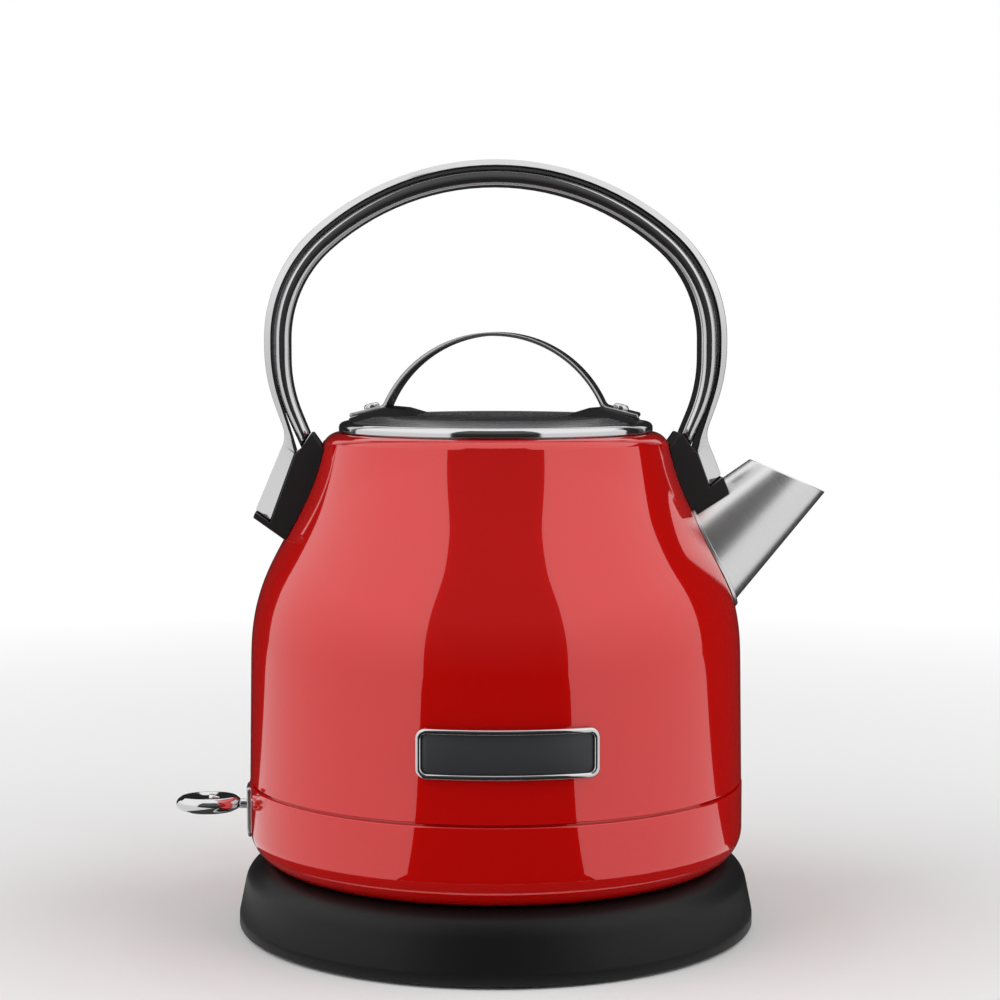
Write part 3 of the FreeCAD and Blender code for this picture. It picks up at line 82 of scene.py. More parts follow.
class Finish:
    def __init__(self, name, world=None):
        self.material = world or bpy.data.materials.new(name)
        self.material.use_nodes = True
        self.tree = self.material.node_tree
        self.tree.nodes.clear()
        self.out = self.tree.nodes.new("ShaderNodeOutputWorld" if world else "ShaderNodeOutputMaterial")

    def feed(self, socket, value):
        if isinstance(value, Value):
            self.tree.links.new(value.socket, socket)
        else:
            socket.default_value = value

    def node(self, kind, settings=None, sockets=None, output=0):
        made = self.tree.nodes.new(kind)
        for key, value in (settings or {}).items():
            setattr(made, key, value)
        for key, value in (sockets or {}).items():
            self.feed(made.inputs[key], value)
        return Value(self, made.outputs[output])

    def where(self):
        return self.node("ShaderNodeTexCoord", output="Object")

    def noise(self, scale, detail=3.0, place=None, rough=0.5):
        return self.node("ShaderNodeTexNoise", sockets={
            "Vector": place or self.where(), "Scale": scale, "Detail": detail, "Roughness": rough})

    def part(self, vector, axis):
        return self.node("ShaderNodeSeparateXYZ", sockets={"Vector": vector}, output=axis)

    def joined(self, x, y, z):
        return self.node("ShaderNodeCombineXYZ", sockets={"X": x, "Y": y, "Z": z})

    def blend(self, factor, first, second):
        return self.node("ShaderNodeMix", {"data_type": "RGBA"}, {0: factor, 6: first, 7: second}, output=2)

    def bump(self, height, strength, distance):
        return self.node(
            "ShaderNodeBump", sockets={"Height": height, "Strength": strength, "Distance": distance})

    def shown(self, shader):
        self.tree.links.new(shader.socket, self.out.inputs["Surface"])
        return self.material

    def surface(self, **sockets):
        named = {key.replace("_", " "): value for key, value in sockets.items()}
        return self.shown(self.node("ShaderNodeBsdfPrincipled", sockets=named))


bareSteel = [0.58, 0.58, 0.59, 1]


def enamelFinish(name, colour, deep):
    # glossy stove enamel with a faint orange peel under a clear top; what faces the axis is bare steel
    make = Finish(name)
    cloud = make.noise(14.0, 2.0)
    peel = make.noise(420.0, 1.0)
    place, facing = make.where(), make.node("ShaderNodeTexCoord", output="Normal")
    outward = make.part(place, 0) * make.part(facing, 0) + make.part(place, 1) * make.part(facing, 1)
    bare = outward.math("LESS_THAN", -0.02)
    return make.surface(
        Base_Color=make.blend(bare, make.blend(cloud.clamped(0.3, 0.7), colour, deep), bareSteel),
        Metallic=0.30 + 0.70 * bare,
        Roughness=0.10 + 0.05 * make.noise(60.0, 2.0) + 0.20 * bare,
        Normal=make.bump(peel, 0.012, 0.0004),
        Coat_Weight=1.0 - bare, Coat_Roughness=0.015, Coat_IOR=1.85, Specular_IOR_Level=0.0)


def polishedFinish(name, colour, rough=0.07):
    # bright steel with faint wipe marks
    make = Finish(name)
    smear = make.noise(45.0, 4.0)
    return make.surface(
        Base_Color=make.blend(make.noise(20.0, 2.0), colour, [c * 0.93 for c in colour[:3]] + [1]),
        Metallic=1.0,
        Roughness=rough + 0.07 * smear * smear,
        Normal=make.bump(make.noise(900.0, 1.0), 0.012, 0.0002))


def brushedFinish(name, colour, along, rough=0.26, depth=0.10):
    # steel brushed in lines: along gives the coordinate that runs across the lines, in metres
    make = Finish(name)
    line = make.joined(along(make), 0.0, 0.0)
    fine = make.noise(5200.0, 2.0, line)
    wide = make.noise(700.0, 2.0, line)
    scratch = 0.6 * fine + 0.4 * wide
    return make.surface(
        Base_Color=make.blend(scratch, [c * 0.86 for c in colour[:3]] + [1], colour),
        Metallic=1.0,
        Roughness=rough + 0.16 * (scratch - 0.5) + 0.05 * make.noise(30.0, 2.0),
        Normal=make.bump(scratch, depth, 0.0002))


def plasticFinish(name, colour, rough, grain, grainSize, sheen=0.5):
    # moulded plastic with a fine spark-eroded grain
    make = Finish(name)
    speck = make.noise(grainSize, 2.0)
    shade = make.noise(9.0, 3.0)
    return make.surface(
        Base_Color=make.blend(shade, colour, [c * 1.25 for c in colour[:3]] + [1]),
        Roughness=rough + 0.10 * (speck - 0.5) + 0.05 * (shade - 0.5),
        Specular_IOR_Level=sheen,
        Normal=make.bump(speck, grain, 0.0003))


def fromAxis(make):
    # distance from the kettle's own axis: rings on the lid
    place = make.where()
    x, y = make.part(place, 0), make.part(place, 1)
    return (x * x + y * y).math("SQRT")


def alongSpout(make):
    place = make.where()
    return make.part(place, 0) * math.sin(spoutTilt) + make.part(place, 2) * math.cos(spoutTilt)


def upwards(make):
    return make.part(make.where(), 2)


finishes = {
    "redEnamel": enamelFinish("redEnamel", [0.67, 0.003, 0.001, 1], [0.64, 0.002, 0.001, 1]),
    "polishedSteel": polishedFinish("polishedSteel", [0.80, 0.80, 0.81, 1]),
    "handleSteel": polishedFinish("handleSteel", [0.74, 0.74, 0.75, 1], 0.10),
    "lidSteel": brushedFinish("lidSteel", [0.42, 0.42, 0.43, 1], fromAxis, 0.24),
    "spoutSteel": brushedFinish("spoutSteel", [0.90, 0.90, 0.90, 1], alongSpout, 0.27),
    "strapSteel": polishedFinish("strapSteel", [0.46, 0.46, 0.47, 1], 0.16),
    "plainSteel": brushedFinish("plainSteel", [0.62, 0.62, 0.63, 1], upwards, 0.30),
    "plateSteel": brushedFinish("plateSteel", [0.70, 0.70, 0.71, 1], upwards, 0.22),
    "blackBracket": plasticFinish("blackBracket", [0.012, 0.012, 0.013, 1], 0.38, 0.05, 2600.0),
    "padBlack": plasticFinish("padBlack", [0.014, 0.014, 0.015, 1], 0.7, 0.05, 2600.0, 0.1),
    "blackBase": plasticFinish("blackBase", [0.005, 0.005, 0.0055, 1], 0.44, 0.14, 2200.0, 0.3),
    "darkSocket": plasticFinish("darkSocket", [0.016, 0.016, 0.017, 1], 0.42, 0.08, 2600.0),
    "badgeGrey": plasticFinish("badgeGrey", [0.030, 0.031, 0.034, 1], 0.34, 0.06, 3200.0),
    "blackRubber": plasticFinish("blackRubber", [0.014, 0.014, 0.014, 1], 0.75, 0.12, 1800.0, 0.25),
    "paleRubber": plasticFinish("paleRubber", [0.52, 0.52, 0.50, 1], 0.6, 0.06, 1500.0),
    "castAlloy": plasticFinish("castAlloy", [0.45, 0.45, 0.46, 1], 0.5, 0.2, 900.0),
    "brassContact": polishedFinish("brassContact", [0.72, 0.50, 0.20, 1], 0.16),
}
print("finishes made:", len(finishes))


def drawOutline(bm, corners, closed=True, stepDegrees=5.0):
    # joins corners (x, z), (x, z, radius) or (x, z, radius, y); a round corner is spun from one vertex
    points = [Vector((c[0], 0, c[1])) for c in corners]
    count = len(points)
    first = last = None
    for i, c in enumerate(corners):
        here = points[i]
        start, spinBy = here, 0.0
        if len(c) > 2 and c[2] > 0:
            back = (points[i - 1] - here).normalized()
            ahead = (points[(i + 1) % count] - here).normalized()
            half = back.angle(ahead) / 2
            start = here + back * (c[2] / math.tan(half))
            centre = here + (back + ahead).normalized() * (c[2] / math.sin(half))
            spinBy = math.pi - 2 * half
            leftward = back.z * ahead.x - back.x * ahead.z > 0
        vert = bm.verts.new(start + Vector((0, c[3] if len(c) > 3 else 0, 0)))
        if last is not None:
            bm.edges.new((last, vert))
        first = first or vert
        last = vert
        if spinBy:
            spun = bmesh.ops.spin(
                bm, geom=[vert], cent=centre, axis=(0, -1, 0) if leftward else (0, 1, 0), angle=spinBy,
                steps=max(3, math.ceil(math.degrees(spinBy) / stepDegrees)), use_duplicate=False)
            last = next(v for v in spun["geom_last"] if isinstance(v, bmesh.types.BMVert))
    if closed:
        bm.edges.new((last, first))
    bmesh.ops.remove_doubles(bm, verts=bm.verts, dist=0.0005)


def turned(corners, steps=128, stepDegrees=5.0, ease=None):
    # a closed section turned all the way round the Z axis; between the heights in ease its bends are softened
    bm = bmesh.new()
    drawOutline(bm, corners, stepDegrees=stepDegrees)
    if ease:
        low, high = ease
        straight = [e for e in bm.edges if e.calc_length() > 3.0]
        for edge in [e for e in straight if min(v.co.z for v in e.verts) >= low - 3]:
            bmesh.ops.subdivide_edges(bm, edges=[edge], cuts=int(edge.calc_length() / 1.5))
        soft = [v for v in bm.verts if low < v.co.z < high]
        for turn in range(14):
            bmesh.ops.smooth_vert(bm, verts=soft, factor=0.5, use_axis_x=True, use_axis_z=True)
    bmesh.ops.spin(
        bm, geom=bm.verts[:] + bm.edges[:], cent=(0, 0, 0), axis=(0, 0, 1), angle=2 * math.pi, steps=steps,
        use_merge=True)
    bmesh.ops.remove_doubles(bm, verts=bm.verts, dist=0.0005)
    bmesh.ops.recalc_face_normals(bm, faces=bm.faces)
    return bm


def newVerts(made):
    return [v for v in made["geom"] if isinstance(v, bmesh.types.BMVert)]


def pressed(corners, halfWidth, edgeRound, segments=3, stepDegrees=4.0):
    # a closed outline in the XZ plane drawn out to a block along Y, with its side edges rounded
    bm = bmesh.new()
    drawOutline(bm, corners, stepDegrees=stepDegrees)
    bmesh.ops.translate(bm, verts=bm.verts, vec=(0, -halfWidth, 0))
    side = bmesh.ops.contextual_create(bm, geom=bm.edges[:])["faces"]
    drawn = bmesh.ops.extrude_face_region(bm, geom=side)
    bmesh.ops.translate(bm, verts=newVerts(drawn), vec=(0, 2 * halfWidth, 0))
    bmesh.ops.recalc_face_normals(bm, faces=bm.faces)
    rim = [e for e in bm.edges if abs(e.verts[0].co.y - e.verts[1].co.y) < 1e-6]
    bmesh.ops.bevel(
        bm, geom=rim, offset=edgeRound, affect="EDGES", segments=segments, profile=0.5, material=-1,
        clamp_overlap=True)
    return bm


def band(outer, inner, halfWidth, edgeRound, segments=4, endRound=0.0, stepDegrees=3.0):
    # a bent bar between two open outlines; a corner's fourth value draws the bar's side in there
    bm = bmesh.new()
    drawOutline(bm, outer, False, stepDegrees)
    drawOutline(bm, inner, False, stepDegrees)
    for edge in [e for e in bm.edges if e.calc_length() > 5.0]:
        bmesh.ops.subdivide_edges(bm, edges=[edge], cuts=int(edge.calc_length() / 2.5))
    bmesh.ops.translate(bm, verts=bm.verts, vec=(0, -halfWidth, 0))
    side = bmesh.ops.bridge_loops(bm, edges=bm.edges[:])["faces"]
    drawn = bmesh.ops.extrude_face_region(bm, geom=side)
    bmesh.ops.scale(bm, vec=(1, -1, 1), verts=newVerts(drawn))
    bmesh.ops.recalc_face_normals(bm, faces=bm.faces)
    if endRound:
        ends = [e for e in bm.edges if e.verts[0].co.y * e.verts[1].co.y < 0 and e.calc_face_angle(0) > 1.0]
        bmesh.ops.bevel(
            bm, geom=ends, offset=endRound, affect="EDGES", segments=5, profile=0.5, material=-1)
    rim = [e for e in bm.edges if e.verts[0].co.y * e.verts[1].co.y > 0 and e.calc_face_angle(0) > 0.6]
    bmesh.ops.bevel(
        bm, geom=rim, offset=edgeRound, affect="EDGES", segments=segments, profile=0.5, material=-1)
    return bm


def block(size, at):
    bm = bmesh.new()
    bmesh.ops.create_cube(bm, size=1.0)
    bmesh.ops.scale(bm, vec=size, verts=bm.verts)
    bmesh.ops.translate(bm, vec=at, verts=bm.verts)
    return bm


def moved(bm, matrix):
    bmesh.ops.transform(bm, matrix=matrix, verts=bm.verts)
    return bm


def lifted(bm, height):
    return moved(bm, Matrix.Translation((0, 0, height)))


def onLid(bm):
    return moved(bm, Matrix.Translation((0, 0, lidSeat)) @ Matrix.Rotation(lidTurn, 4, "Z"))


def onSpout(bm):
    return moved(bm, Matrix.Translation(spoutRoot) @ Matrix.Rotation(spoutTilt, 4, "Y"))


def joinedMesh(*parts):
    whole = parts[0]
    for other in parts[1:]:
        spare = bpy.data.meshes.new("spare")
        other.to_mesh(spare)
        whole.from_mesh(spare)
        other.free()
        bpy.data.meshes.remove(spare)
    return whole


def asObject(name, bm):
    mesh = bpy.data.meshes.new(name)
    bm.to_mesh(mesh)
    bm.free()
    thing = bpy.data.objects.new(name, mesh)
    bpy.context.scene.collection.objects.link(thing)
    return thing


def carved(bm, cutter, operation="DIFFERENCE"):
    # one solid cut from, or kept inside, another
    thing, tool = asObject("carve", bm), asObject("carver", cutter)
    step = thing.modifiers.new("carve", "BOOLEAN")
    step.object = tool
    step.operation = operation
    step.solver = "EXACT"
    view = bpy.context.evaluated_depsgraph_get()
    result = bmesh.new()
    result.from_mesh(thing.evaluated_get(view).to_mesh())
    for used in (thing, tool):
        bpy.data.objects.remove(used)
    bmesh.ops.remove_doubles(result, verts=result.verts, dist=0.0005)
    return result


def place(name, bm, finish, body, nodes=(), slot=None, sharp=32.0, weighted=True):
    # finishes a piece: metres, smooth shading, material, and the body that it rides on
    bmesh.ops.scale(bm, vec=(0.001, 0.001, 0.001), verts=bm.verts)
    thing = asObject(name, bm)
    thing.data.materials.append(finishes[finish])
    thing.data.shade_smooth()
    thing.data.set_sharp_from_angle(angle=math.radians(sharp))
    if weighted:
        shade = thing.modifiers.new("evenShade", "WEIGHTED_NORMAL")
        shade.keep_sharp = True
        shade.weight = 80
    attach(thing, body)
    if nodes:
        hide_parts(*nodes)
    return thing


# body of the kettle
bodyLook = {
    "steps": 224, "radius": 85.0, "low": 28.0, "top": 147.0, "wall": 1.0, "mouth": 50.5, "collar": 6.0,
    "spoutBore": 15.0, "eased": (31.0, 143.5),
}


def bodyOutside(outset):
    return [
        (bodyLook["radius"] + outset, bodyLook["low"]),
        (84.1 + outset, 89.8, 65.0 + outset),
        (61.35 + outset, 131.6, 75.0 - outset),
        (58.74 + outset, bodyLook["top"] + outset, 6.0 + outset),
    ]


def bodyEnvelope(outset, steps=160):
    ends = [(0, bodyLook["top"] + outset), (0, bodyLook["low"])]
    return lifted(turned(bodyOutside(outset) + ends, steps), foot)


def makeBody():
    wall, mouth, top, bored = (bodyLook[key] for key in ("wall", "mouth", "top", "spoutBore"))
    outside = bodyOutside(0.0)
    outside[0] = (*outside[0], 0.45)
    collar = [(mouth, top, 0.9), (mouth, top - bodyLook["collar"]), (mouth + wall, top - bodyLook["collar"]),
              (mouth + wall, top - wall)]
    section = outside + collar + bodyOutside(-wall)[::-1]
    shell = lifted(turned(section, bodyLook["steps"], 1.5, bodyLook["eased"]), foot)
    bore = onSpout(turned([(0, -18), (bored, -18), (bored, 18), (0, 18)], 64))
    place("bodyShell", carved(shell, bore), "redEnamel", "kettle", ["body_shell"], "red_enamel",
          weighted=False)

    skirt = turned([
        (85.2, 27.2, 0.45), (85.2, 0.0, 11.5), (70.0, 0.0), (70.0, 1.6), (83.6, 1.6, 9.9), (83.6, 23.6),
        (82.1, 25.2), (82.1, 30.6), (83.7, 30.6), (83.7, 27.2)], bodyLook["steps"], 3.0)
    leverSlot = block((20, 4.4, 7.1), (-bodyLook["radius"], 0, 16.95))
    place("lowerBand", lifted(carved(skirt, leverSlot), foot), "redEnamel", "kettle", ["lower_band"],
          "red_enamel", weighted=False)


makeBody()
print("body made")


# power base
baseLook = {"steps": 192, "post": 13.4, "ribs": 12, "rib": (0.7, 1.3, 4.6)}


def makeBase():
    cover = turned([
        (89.0, 1.0, 0.4), (89.0, 4.8, 2.4), (85.3, 23.0, 9.0), (40.0, 23.0, 3.0), (27.5, 27.4, 3.0),
        (19.5, 27.4, 0.5), (19.5, 25.0), (27.5, 25.0), (40.0, 20.6), (82.9, 20.6, 6.6), (86.6, 4.8),
        (86.6, 1.0)], baseLook["steps"], 4.0)
    entry = moved(turned([(0, 70), (5.5, 70), (5.5, 95), (0, 95)], 48),
                  Matrix.Translation((0, 0, 11.0)) @ Matrix.Rotation(math.radians(-90), 4, "X"))
    place("baseCover", carved(cover, entry), "blackBase", "base", ["base_cover"], "base_black",
          weighted=False)

    post = baseLook["post"]
    stem = turned([
        (0, 23.0), (24.0, 23.0), (24.0, 25.0), (19.2, 25.0), (19.2, 27.4, 0.4), (16.2, 29.6, 1.2),
        (post, 32.0, 1.5), (post, 37.6), (13.8, 38.2, 0.2), (13.8, 40.9, 0.9), (11.2, 40.9, 0.4),
        (11.2, 40.1, 0.2), (9.6, 40.1, 0.2), (9.6, 40.9, 0.4), (7.9, 40.9, 0.4), (7.9, 32.9), (0, 32.9)], 96)
    for i in range(baseLook["ribs"]):
        rib = block(baseLook["rib"], (post - 0.1, 0, 34.9))
        bmesh.ops.bevel(
            rib, geom=rib.edges[:], offset=0.2, affect="EDGES", segments=2, profile=0.5, material=-1)
        moved(rib, Matrix.Rotation(2 * math.pi * i / baseLook["ribs"], 4, "Z"))
        stem = joinedMesh(stem, rib)
    place("connectorPost", stem, "darkSocket", "base", ["connector_post"], "socket_plastic")


makeBase()
print("base made")


# spout
spoutLook = {
    "rootRadius": 17.95, "taper": 7.8, "start": -14.0, "length": 36.6, "wall": 0.9, "mouthTilt": 23.8,
    "lip": 0.36, "flangeOut": 1.5, "flangeHigh": 1.1,
}


def spoutRadius(along):
    return spoutLook["rootRadius"] - math.tan(math.radians(spoutLook["taper"])) * along


def spoutCone(outset, start, end, steps=96):
    return onSpout(turned([
        (0, start), (spoutRadius(start) + outset, start), (spoutRadius(end) + outset, end), (0, end)], steps))


def makeSpout():
    wall, start, end = spoutLook["wall"], spoutLook["start"], spoutLook["length"] + 16
    cone = turned([
        (spoutRadius(start) - wall, start), (spoutRadius(start), start), (spoutRadius(end), end),
        (spoutRadius(end) - wall, end)], 128)
    tilt = math.radians(spoutLook["mouthTilt"])
    normal = Vector((-math.sin(tilt), 0, math.cos(tilt)))
    cut = bmesh.ops.bisect_plane(
        cone, geom=cone.verts[:] + cone.edges[:] + cone.faces[:], plane_co=(0, 0, spoutLook["length"]),
        plane_no=normal, clear_outer=True)
    rims = [e for e in cut["geom_cut"] if isinstance(e, bmesh.types.BMEdge)]
    bmesh.ops.bridge_loops(cone, edges=rims)
    lipEdges = [e for e in rims if e.is_valid]
    bmesh.ops.bevel(
        cone, geom=lipEdges, offset=spoutLook["lip"], affect="EDGES", segments=3, profile=0.5, material=-1)
    bmesh.ops.recalc_face_normals(cone, faces=cone.faces)
    pipe = carved(onSpout(cone), bodyEnvelope(0.3))
    flange = carved(
        spoutCone(spoutLook["flangeOut"], start, 24), bodyEnvelope(spoutLook["flangeHigh"]), "INTERSECT")
    flange = carved(flange, bodyEnvelope(0.15))
    flange = carved(flange, spoutCone(0.02, -20, 40))
    place("spout", joinedMesh(pipe, flange), "spoutSteel", "kettle", ["spout"], "brushed_steel",
          weighted=False)


makeSpout()
print("spout made")


# arched handle
handleLook = {
    "halfSpan": 78.9, "centre": 178.65, "sideRadius": 50.0, "crownRadius": 93.76, "crownRise": 10.9,
    "strip": 2.2, "groove": 1.0, "tube": 5.6,
    "stripHalfWidth": 9.0, "tubeHalfWidth": 8.0, "ribHalfWidth": 5.5,
    "stripLean": 1.5, "plateLean": 3.0, "tubeRound": 2.5,
}


def archOver(inset, sideIn=0.0):
    # the corners whose rounding makes the three-centred arch
    side, crown = handleLook["sideRadius"], handleLook["crownRadius"]
    sideways, between = handleLook["halfSpan"] - side, crown - side
    normalX, normalZ = sideways / between, (between - handleLook["crownRise"]) / between
    reach = normalX * sideways + normalZ * handleLook["centre"] + side - inset
    wide = handleLook["halfSpan"] - inset
    corner = (reach - normalX * wide) / normalZ
    return [(wide, corner, side - inset, sideIn), (0, reach / normalZ, crown - inset, sideIn),
            (-wide, corner, side - inset, sideIn)]


def mirrored(corners):
    return [(-c[0], *c[1:]) for c in reversed(corners)]


def makeHandle():
    thick, lean, plateLean = handleLook["strip"], handleLook["stripLean"], handleLook["plateLean"]
    span = handleLook["halfSpan"]
    outLeg = [(71.6, 146.0, 9.0, lean), (span, 166.0, 60.0, lean)]
    inLeg = [(68.5, 140.4, 1.0), (70.1, 146.0, 1.2), (span - thick, 166.4, 57.0)]
    outer = ([(77.4, 132.2, 0, plateLean)] + outLeg + archOver(0.0, lean) + mirrored(outLeg)
             + [(-82.23, 120.7, 0, plateLean)])
    inner = [(72.9, 128.6)] + inLeg + archOver(thick) + mirrored(inLeg) + [(-77.19, 117.1)]
    strip = band(outer, inner, handleLook["stripHalfWidth"], 0.4, 3, 0.9)
    place("handleStrip", lifted(strip, foot), "handleSteel", "kettle", ["handle_strip"], "polished_steel")

    near = thick + handleLook["groove"]
    far = near + handleLook["tube"]
    outLeg = [(66.6, 142.0), (span - near, 162.4, 56.0)]
    inLeg = [(63.6, 146.6), (span - far, 162.4, 50.0)]
    tube = band(
        outLeg + archOver(near) + mirrored(outLeg), inLeg + archOver(far) + mirrored(inLeg),
        handleLook["tubeHalfWidth"], handleLook["tubeRound"], 8)
    outLeg = [(69.0, 147.5), (span - thick - 0.1, 166.0, 57.0)]
    inLeg = [(67.0, 146.5), (span - near - 1.5, 162.6, 55.0)]
    rib = band(
        outLeg + archOver(thick + 0.1) + mirrored(outLeg), inLeg + archOver(near + 1.5) + mirrored(inLeg),
        handleLook["ribHalfWidth"], 0.1, 1)
    place("handleTube", lifted(joinedMesh(tube, rib), foot), "handleSteel", "kettle", ["handle_tube"],
          "polished_steel")


makeHandle()
print("handle made")


# moulded brackets
bracketLook = {"halfWidth": 11.0, "edge": 0.9, "gap": 0.25, "spoutGap": 0.35}


def makeBrackets():
    half, edge, gap = bracketLook["halfWidth"], bracketLook["edge"], bracketLook["gap"]
    head = [(45, 139.5), (59.4, 142.2), (62.9, 147.2, 0.8), (63.6, 146.3, 0.3), (67.4, 140.9), (68.4, 140.2)]
    rear = head + [(77.15, 116.8), (82.2, 120.3, 0.3), (82.9, 118.5, 0.6), (45, 91.2)]
    bracket = carved(lifted(pressed(mirrored(rear), half, edge), foot), bodyEnvelope(gap))
    place("bracketRear", bracket, "blackBracket", "kettle", ["handle_bracket_rear"], "black_plastic")
    front = head + [(72.85, 128.3), (77.4, 131.8, 0.3), (79.5, 126.6, 1.2), (45, 98.0)]
    bracket = carved(lifted(pressed(front, half, edge), foot), bodyEnvelope(gap))
    bracket = carved(bracket, spoutCone(bracketLook["spoutGap"], -20, 36))
    place("bracketFront", bracket, "blackBracket", "kettle", ["handle_bracket_front"], "black_plastic")


makeBrackets()
print("brackets made")


# lid
lidLook = {
    "steps": 192, "radius": 54.0, "seam": 51.0, "footLean": 14.0, "knee": (37.9, 9.31), "footEnd": 49.4,
    "strapThick": 1.34, "strapHalfWidth": 10.0, "strapLean": 0.5, "padHalfWidth": 13.0, "padFlare": 5.0,
    "padEnd": 50.6, "rivetAt": 43.0,
}


def strapFoot(x):
    # height of the strap's foot at x
    return lidLook["knee"][1] - (x - lidLook["knee"][0]) * math.tan(math.radians(lidLook["footLean"]))


def makeLid():
    steps, radius, seam = lidLook["steps"], lidLook["radius"], lidLook["seam"]
    cover = turned([
        (0, 6.25), (28, 6.05, 150), (43.0, 5.5, 5.0), (seam - 0.1, 3.5, 0.3), (seam - 0.1, 2.8),
        (0, 5.4)], steps)
    place("lidCover", onLid(cover), "lidSteel", "lid", ["lid_cover"], "brushed_steel", weighted=False)
    rim = turned([(seam, 0.4, 0.2), (radius - 0.1, 0.4, 0.25), (radius, 3.6, 2.0), (seam, 3.6, 0.4)], steps)
    place("lidRim", onLid(rim), "polishedSteel", "lid", ["lid_rim"], "polished_steel", weighted=False)

    lean, end, thick = lidLook["strapLean"], lidLook["footEnd"], lidLook["strapThick"]
    outer = [(end, strapFoot(end), 0, lean), (*lidLook["knee"], 2.2, lean), (0, 96.9, 41.3, lean)]
    inner = [(end, strapFoot(end) - thick), (37.06, 7.97, 3.5), (0, 98.3, 40.0)]
    strap = band(
        outer + mirrored(outer[:2]), inner + mirrored(inner[:2]), lidLook["strapHalfWidth"], 0.42, 3, 0.5,
        2.5)
    place("lidStrap", onLid(strap), "strapSteel", "lid", ["lid_strap"], "polished_steel")

    wide, end = lidLook["padHalfWidth"], lidLook["padEnd"]
    for name, node, turn in (("lidPadFront", "lid_pad_front", 0.0), ("lidPadRear", "lid_pad_rear", math.pi)):
        pad = pressed([
            (25.5, 5.4), (end + 2.0, 3.4, 0.3), (end, strapFoot(end) - 0.9, 0.6), (37.1, 8.4, 4.0),
            (31.5, 7.9, 5.0), (25.5, 6.0, 0.2)], wide, 1.0, 5)
        for vert in pad.verts:
            # the sides run out over the dome, and the outer end follows the rim
            down = min(1.0, max(0.0, (8.2 - vert.co.z) / 4.0))
            vert.co.y *= 1.0 + down * lidLook["padFlare"] / wide
            vert.co.x -= max(0.0, vert.co.x - 40.0) / 11.6 * (seam - math.sqrt(seam ** 2 - vert.co.y ** 2))
        moved(pad, Matrix.Rotation(turn, 4, "Z"))
        place(name, onLid(pad), "padBlack", "lid", [node], "black_plastic")

    at = lidLook["rivetAt"]
    rivets = []
    for side in (0.0, math.pi):
        rivet = turned([(0, -3.0), (1.4, -3.0), (1.4, 0.05), (2.7, 0.05, 0.2), (2.7, 1.5, 1.2), (0, 1.7)], 40)
        rivets.append(moved(rivet, Matrix.Rotation(side, 4, "Z") @ Matrix.Translation((at, 0, strapFoot(at)))
                            @ Matrix.Rotation(math.radians(lidLook["footLean"]), 4, "Y")))
    place("lidRivets", onLid(joinedMesh(*rivets)), "polishedSteel", "lid", ["lid_rivets"], "polished_steel",
          weighted=False)


makeLid()
print("lid made")


# badge and switch plate are drawn flat and then wrapped on the body
badgeLook = {"width": 58.0, "high": 16.0, "level": 50.4, "round": 3.2, "border": 1.8, "radius": 85.05}


def roundedBox(halfWide, halfHigh, radius):
    return [(-halfWide, -halfHigh, radius), (halfWide, -halfHigh, radius), (halfWide, halfHigh, radius),
            (-halfWide, halfHigh, radius)]


def flatRing(outer, inner, front, edge):
    # a frame between two outlines, standing from y = 0 towards -y
    bm = bmesh.new()
    drawOutline(bm, outer, stepDegrees=9)
    drawOutline(bm, inner, stepDegrees=9)
    faces = bmesh.ops.bridge_loops(bm, edges=bm.edges[:])["faces"]
    drawn = bmesh.ops.extrude_face_region(bm, geom=faces)
    bmesh.ops.translate(bm, verts=newVerts(drawn), vec=(0, -front, 0))
    bmesh.ops.recalc_face_normals(bm, faces=bm.faces)
    rim = [e for e in bm.edges if all(v.co.y < -front + 1e-5 for v in e.verts) and e.calc_face_angle(0) > 0.5]
    bmesh.ops.bevel(bm, geom=rim, offset=edge, affect="EDGES", segments=4, profile=0.5, material=-1)
    return bm


def flatPlate(outline, front, edge):
    bm = bmesh.new()
    drawOutline(bm, outline, stepDegrees=9)
    faces = bmesh.ops.contextual_create(bm, geom=bm.edges[:])["faces"]
    drawn = bmesh.ops.extrude_face_region(bm, geom=faces)
    bmesh.ops.translate(bm, verts=newVerts(drawn), vec=(0, -front, 0))
    bmesh.ops.recalc_face_normals(bm, faces=bm.faces)
    rim = [e for e in bm.edges if all(v.co.y < -front + 1e-5 for v in e.verts)]
    bmesh.ops.bevel(bm, geom=rim, offset=edge, affect="EDGES", segments=2, profile=0.5, material=-1)
    return bm


def sliced(bm, axis, low, high, gap):
    normal = Vector((1, 0, 0)) if axis == 0 else Vector((0, 0, 1))
    at = low
    while at < high:
        bmesh.ops.bisect_plane(
            bm, geom=bm.verts[:] + bm.edges[:] + bm.faces[:], plane_co=normal * at, plane_no=normal)
        at += gap
    return bm


def wrapped(bm, radius):
    # bends a flat piece round the Z axis at the front of the body
    for vert in bm.verts:
        angle = vert.co.x / radius
        reach = radius - vert.co.y
        vert.co = Vector((reach * math.sin(angle), -reach * math.cos(angle), vert.co.z))
    return bm


def makeBadge():
    wide, high, border = badgeLook["width"] / 2, badgeLook["high"] / 2, badgeLook["border"]
    level, radius = foot + badgeLook["level"], badgeLook["radius"]
    opening = roundedBox(wide - border, high - border, badgeLook["round"] - border + 0.4)
    surround = flatRing(roundedBox(wide, high, badgeLook["round"]), opening, 2.1, 0.75)
    wrapped(sliced(surround, 0, -28, 28.5, 2.0), radius)
    place("badgeFrame", lifted(surround, level), "polishedSteel", "kettle", ["badge_frame"], "polished_steel",
          weighted=False)
    plate = flatPlate(roundedBox(wide - border - 0.05, high - border - 0.05, 1.8), 0.9, 0.12)
    wrapped(sliced(plate, 0, -27, 27.5, 2.0), radius)
    place("badgePlate", lifted(plate, level), "badgeGrey", "kettle", ["badge_plate"], "badge_grey",
          weighted=False)


makeBadge()
print("badge made")


